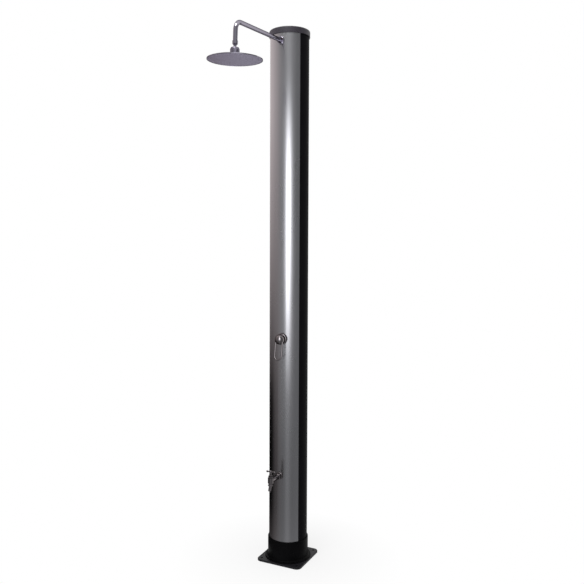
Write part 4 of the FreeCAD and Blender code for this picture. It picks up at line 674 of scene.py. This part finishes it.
class POST_OT_build_studio(bpy.types.Operator):
    """Sets the camera at the photograph's angle, with a pale floor and soft light."""

    bl_idname = "post.build_studio"
    bl_label = "Studio"

    def execute(self, context):
        studio = context.scene.studio
        self.build_floor(studio)
        self.build_card(studio)
        self.build_world(studio)
        self.build_lights(studio)
        self.build_camera(studio)
        context.scene.view_settings.view_transform = "Standard"
        return {"FINISHED"}

    def seen_ray(self, tree):
        """1 for the rays of the camera, of glossy and of clear surfaces, and 0 for all others."""
        path = tree.nodes.new("ShaderNodeLightPath")
        seen = calculate(tree, "MAXIMUM", path.outputs["Is Camera Ray"],
                         path.outputs["Is Glossy Ray"])
        return calculate(tree, "MAXIMUM", seen, path.outputs["Is Transmission Ray"])

    def build_floor(self, studio):
        """A wide pale floor that looks white far out and keeps the post's shadow near the foot."""
        bpy.ops.object.select_all(action="DESELECT")
        bpy.ops.mesh.primitive_plane_add(size=40.0, location=(0, 0, 0))
        floor = bpy.context.object
        floor.name = "studio_floor"
        material = bpy.data.materials.new("Studio floor")
        material.use_nodes = True
        tree = material.node_tree
        shader = tree.nodes["Principled BSDF"]
        shader.inputs["Base Color"].default_value = (*studio.floor_colour, 1.0)
        shader.inputs["Roughness"].default_value = 0.9
        shader.inputs["Specular IOR Level"].default_value = 0.1
        place = add_node(tree, "ShaderNodeNewGeometry")
        distance = add_node(tree, "ShaderNodeVectorMath", operation="LENGTH",
                            links=[(0, place.outputs["Position"])])
        glow = add_node(tree, "ShaderNodeEmission", Color=WHITE)
        fade = calculate(tree, "MULTIPLY", self.seen_ray(tree),
                         ramp(tree, distance.outputs["Value"], 0.12, 0.5, 0.78, 1.0))
        mix = add_node(tree, "ShaderNodeMixShader",
                       [(0, fade), (1, shader.outputs[0]), (2, glow.outputs[0])])
        tree.links.new(mix.outputs[0], tree.nodes["Material Output"].inputs["Surface"])
        floor.data.materials.append(material)

    def build_world(self, studio):
        """Soft light from all sides, seen as plain white behind the post."""
        world = bpy.data.worlds.new("Studio")
        world.use_nodes = True
        tree = world.node_tree
        light = tree.nodes["Background"]
        light.inputs["Color"].default_value = WHITE
        light.inputs["Strength"].default_value = studio.world_strength
        white = add_node(tree, "ShaderNodeBackground", Color=WHITE, Strength=1.0)
        mix = add_node(tree, "ShaderNodeMixShader",
                       [(0, self.seen_ray(tree)), (1, light.outputs[0]), (2, white.outputs[0])])
        tree.links.new(mix.outputs[0], tree.nodes["World Output"].inputs["Surface"])
        bpy.context.scene.world = world

    def build_card(self, studio):
        """A tall curved grey card round the post's front, seen by glossy surfaces only.

        It is open to the back and the sky, where metal shows the white surroundings, and it stands
        on a foot of its own that lies on the floor before the post.
        """
        bpy.ops.object.select_all(action="DESELECT")
        bottom = 10 * MM
        bpy.ops.mesh.primitive_cylinder_add(
            vertices=96, radius=studio.card_distance, depth=studio.card_height,
            end_fill_type="NOTHING", location=(0, 0, bottom + studio.card_height / 2))
        card = bpy.context.object
        card.name = "reflection_card"
        bpy.ops.object.transform_apply(location=True)
        deselect("FACE")
        for face in card.data.polygons:
            turn = math.atan2(face.center.x, -face.center.y)
            face.select = not studio.card_left < turn < studio.card_right
        bpy.ops.object.mode_set(mode="EDIT")
        bpy.ops.mesh.delete(type="FACE")
        bpy.ops.object.mode_set(mode="OBJECT")
        select_edges(card, lambda ends: all(end.z < 2 * bottom for end in ends))
        bpy.ops.object.mode_set(mode="EDIT")
        bpy.ops.mesh.extrude_edges_move()
        bpy.ops.object.mode_set(mode="OBJECT")
        scale_about((0, 0, 0), (studio.card_foot, studio.card_foot, 1.0))
        card.data.materials.append(self.card_material(studio))
        card.visible_camera = False
        card.visible_diffuse = False
        card.visible_shadow = False
        card.visible_transmission = False
        card.visible_volume_scatter = False

    def card_material(self, studio):
        """The card's soft glow, by height and by azimuth round the post.

        It is dim at the right and low down, lighter and warmer at the upper left, and has a tall
        bright strip at the camera's side.
        """
        material = bpy.data.materials.new("Grey card")
        material.use_nodes = True
        tree = material.node_tree
        tree.nodes.remove(tree.nodes["Principled BSDF"])
        where = add_node(tree, "ShaderNodeTexCoord").outputs["Object"]
        place = add_node(tree, "ShaderNodeSeparateXYZ", [(0, where)])
        height = place.outputs["Z"]
        turn = calculate(tree, "ARCTAN2", place.outputs["X"],
                         calculate(tree, "MULTIPLY", place.outputs["Y"], -1.0))
        reach = add_node(tree, "ShaderNodeVectorMath", operation="LENGTH", links=[(0, where)])
        left = ramp(tree, height, 0.52, 2.1, 0.0, 0.93)
        middle = ramp(tree, height, 0.1, 0.9, 0.2, 0.39)
        glow = blend(tree, ramp(tree, turn, -0.35, -1.45, 0.0, 1.0), middle, left)
        glow = blend(tree, ramp(tree, turn, 0.6, 1.25, 0.0, 1.0), glow, 0.24)
        glow = calculate(tree, "ADD", glow, ramp(tree, reach.outputs["Value"], 0.2, 0.7, 0.06, 0.0))
        spread = calculate(tree, "DIVIDE", calculate(tree, "SUBTRACT", turn, studio.strip_turn),
                           studio.strip_width)
        strip = calculate(tree, "MULTIPLY", calculate(tree, "MULTIPLY", spread, spread), -1.0)
        strip = calculate(tree, "EXPONENT", strip)
        for share in (ramp(tree, height, 0.5, 1.5, 0.03, 1.0, soft=True), studio.strip_glow,
                      ramp(tree, height, 1.65, 2.26, 1.0, 0.02, soft=True)):
            strip = calculate(tree, "MULTIPLY", strip, share)
        tint = add_node(tree, "ShaderNodeMix", data_type="RGBA",
                        links=[(0, ramp(tree, turn, -0.1, -1.0, 0.0, 1.0))])
        tint.inputs[6].default_value = (0.95, 0.965, 1.0, 1.0)
        tint.inputs[7].default_value = (1.0, 0.9, 0.91, 1.0)
        lamp = add_node(tree, "ShaderNodeEmission",
                        [("Color", tint.outputs[2]),
                         ("Strength", calculate(tree, "ADD", glow, strip))])
        tree.links.new(lamp.outputs[0], tree.nodes["Material Output"].inputs["Surface"])
        return material

    def build_lights(self, studio):
        """A large level light before the post, and one over it that metal shows as a glint."""
        self.add_area("front_light", -10.0, 3.3, 1.9, 90.0, 2.4, studio.front_power)
        top = self.add_area("top_light", 5.0, 1.6, 4.2, 22.0, 1.3, studio.top_power)
        top.visible_glossy = True

    def add_area(self, name, azimuth, distance, height, tilt, size, power):
        """A square area light round the post, turned to it and tilted up from straight down."""
        turn = math.radians(azimuth)
        data = bpy.data.lights.new(name, "AREA")
        data.shape = "RECTANGLE"
        data.size = data.size_y = size
        data.energy = power
        lamp = bpy.data.objects.new(name, data)
        bpy.context.scene.collection.objects.link(lamp)
        lamp.location = (distance * math.sin(turn), -distance * math.cos(turn), height)
        lamp.rotation_euler = (math.radians(tilt), 0, turn)
        lamp.visible_camera = False
        lamp.visible_glossy = False
        return lamp

    def build_camera(self, studio):
        """A camera that stands and looks as the one of the photograph did."""
        turn, pitch = studio.camera_azimuth, studio.camera_pitch
        data = bpy.data.cameras.new("camera")
        data.lens = studio.lens
        data.sensor_width = 36.0
        data.shift_x = studio.shift_x
        data.shift_y = studio.shift_y
        camera = bpy.data.objects.new("camera", data)
        bpy.context.scene.collection.objects.link(camera)
        reach = studio.camera_distance
        camera.location = (reach * math.sin(turn), -reach * math.cos(turn), studio.camera_height)
        ahead = Vector((-math.sin(turn) * math.cos(pitch), math.cos(turn) * math.cos(pitch),
                        -math.sin(pitch)))
        camera.rotation_mode = "QUATERNION"
        camera.rotation_quaternion = (ahead.to_track_quat("-Z", "Y")
                                      @ Quaternion((0, 0, 1), studio.camera_roll))
        bpy.context.scene.camera = camera


OPERATORS = (
    POST_OT_finish_foot,
    POST_OT_finish_column,
    POST_OT_finish_inside,
    POST_OT_cut_inlet_thread,
    POST_OT_finish_arm,
    POST_OT_finish_mixer,
    POST_OT_finish_tap,
    POST_OT_rib_ring_nut,
    POST_OT_build_studio,
)


class POST_PT_sidebar(bpy.types.Panel):
    """Lists the steps that finish the shower post."""

    bl_idname = "POST_PT_sidebar"
    bl_label = "Shower post"
    bl_space_type = "VIEW_3D"
    bl_region_type = "UI"
    bl_category = "Shower post"

    def draw(self, context):
        for operator in OPERATORS:
            self.layout.operator(operator.bl_idname)
        for group in (context.scene.post_sizes, context.scene.post_finish, context.scene.studio):
            for name in group.__annotations__:
                self.layout.prop(group, name)


CLASSES = (PostFinish, PostSizes, StudioSettings, *OPERATORS, POST_PT_sidebar)


def register():
    for item in CLASSES:
        bpy.utils.register_class(item)
    bpy.types.Scene.post_finish = bpy.props.PointerProperty(type=PostFinish)
    bpy.types.Scene.post_sizes = bpy.props.PointerProperty(type=PostSizes)
    bpy.types.Scene.studio = bpy.props.PointerProperty(type=StudioSettings)


def unregister():
    del bpy.types.Scene.studio
    del bpy.types.Scene.post_sizes
    del bpy.types.Scene.post_finish
    for item in reversed(CLASSES):
        bpy.utils.unregister_class(item)


def main():
    """Finish the post and set the studio."""
    register()
    bpy.ops.post.finish_foot()
    bpy.ops.post.finish_column()
    bpy.ops.post.finish_inside()
    bpy.ops.post.cut_inlet_thread()
    bpy.ops.post.finish_arm()
    bpy.ops.post.finish_mixer()
    bpy.ops.post.finish_tap()
    bpy.ops.post.rib_ring_nut()
    bpy.ops.post.build_studio()


if __name__ == "__main__":
    main()
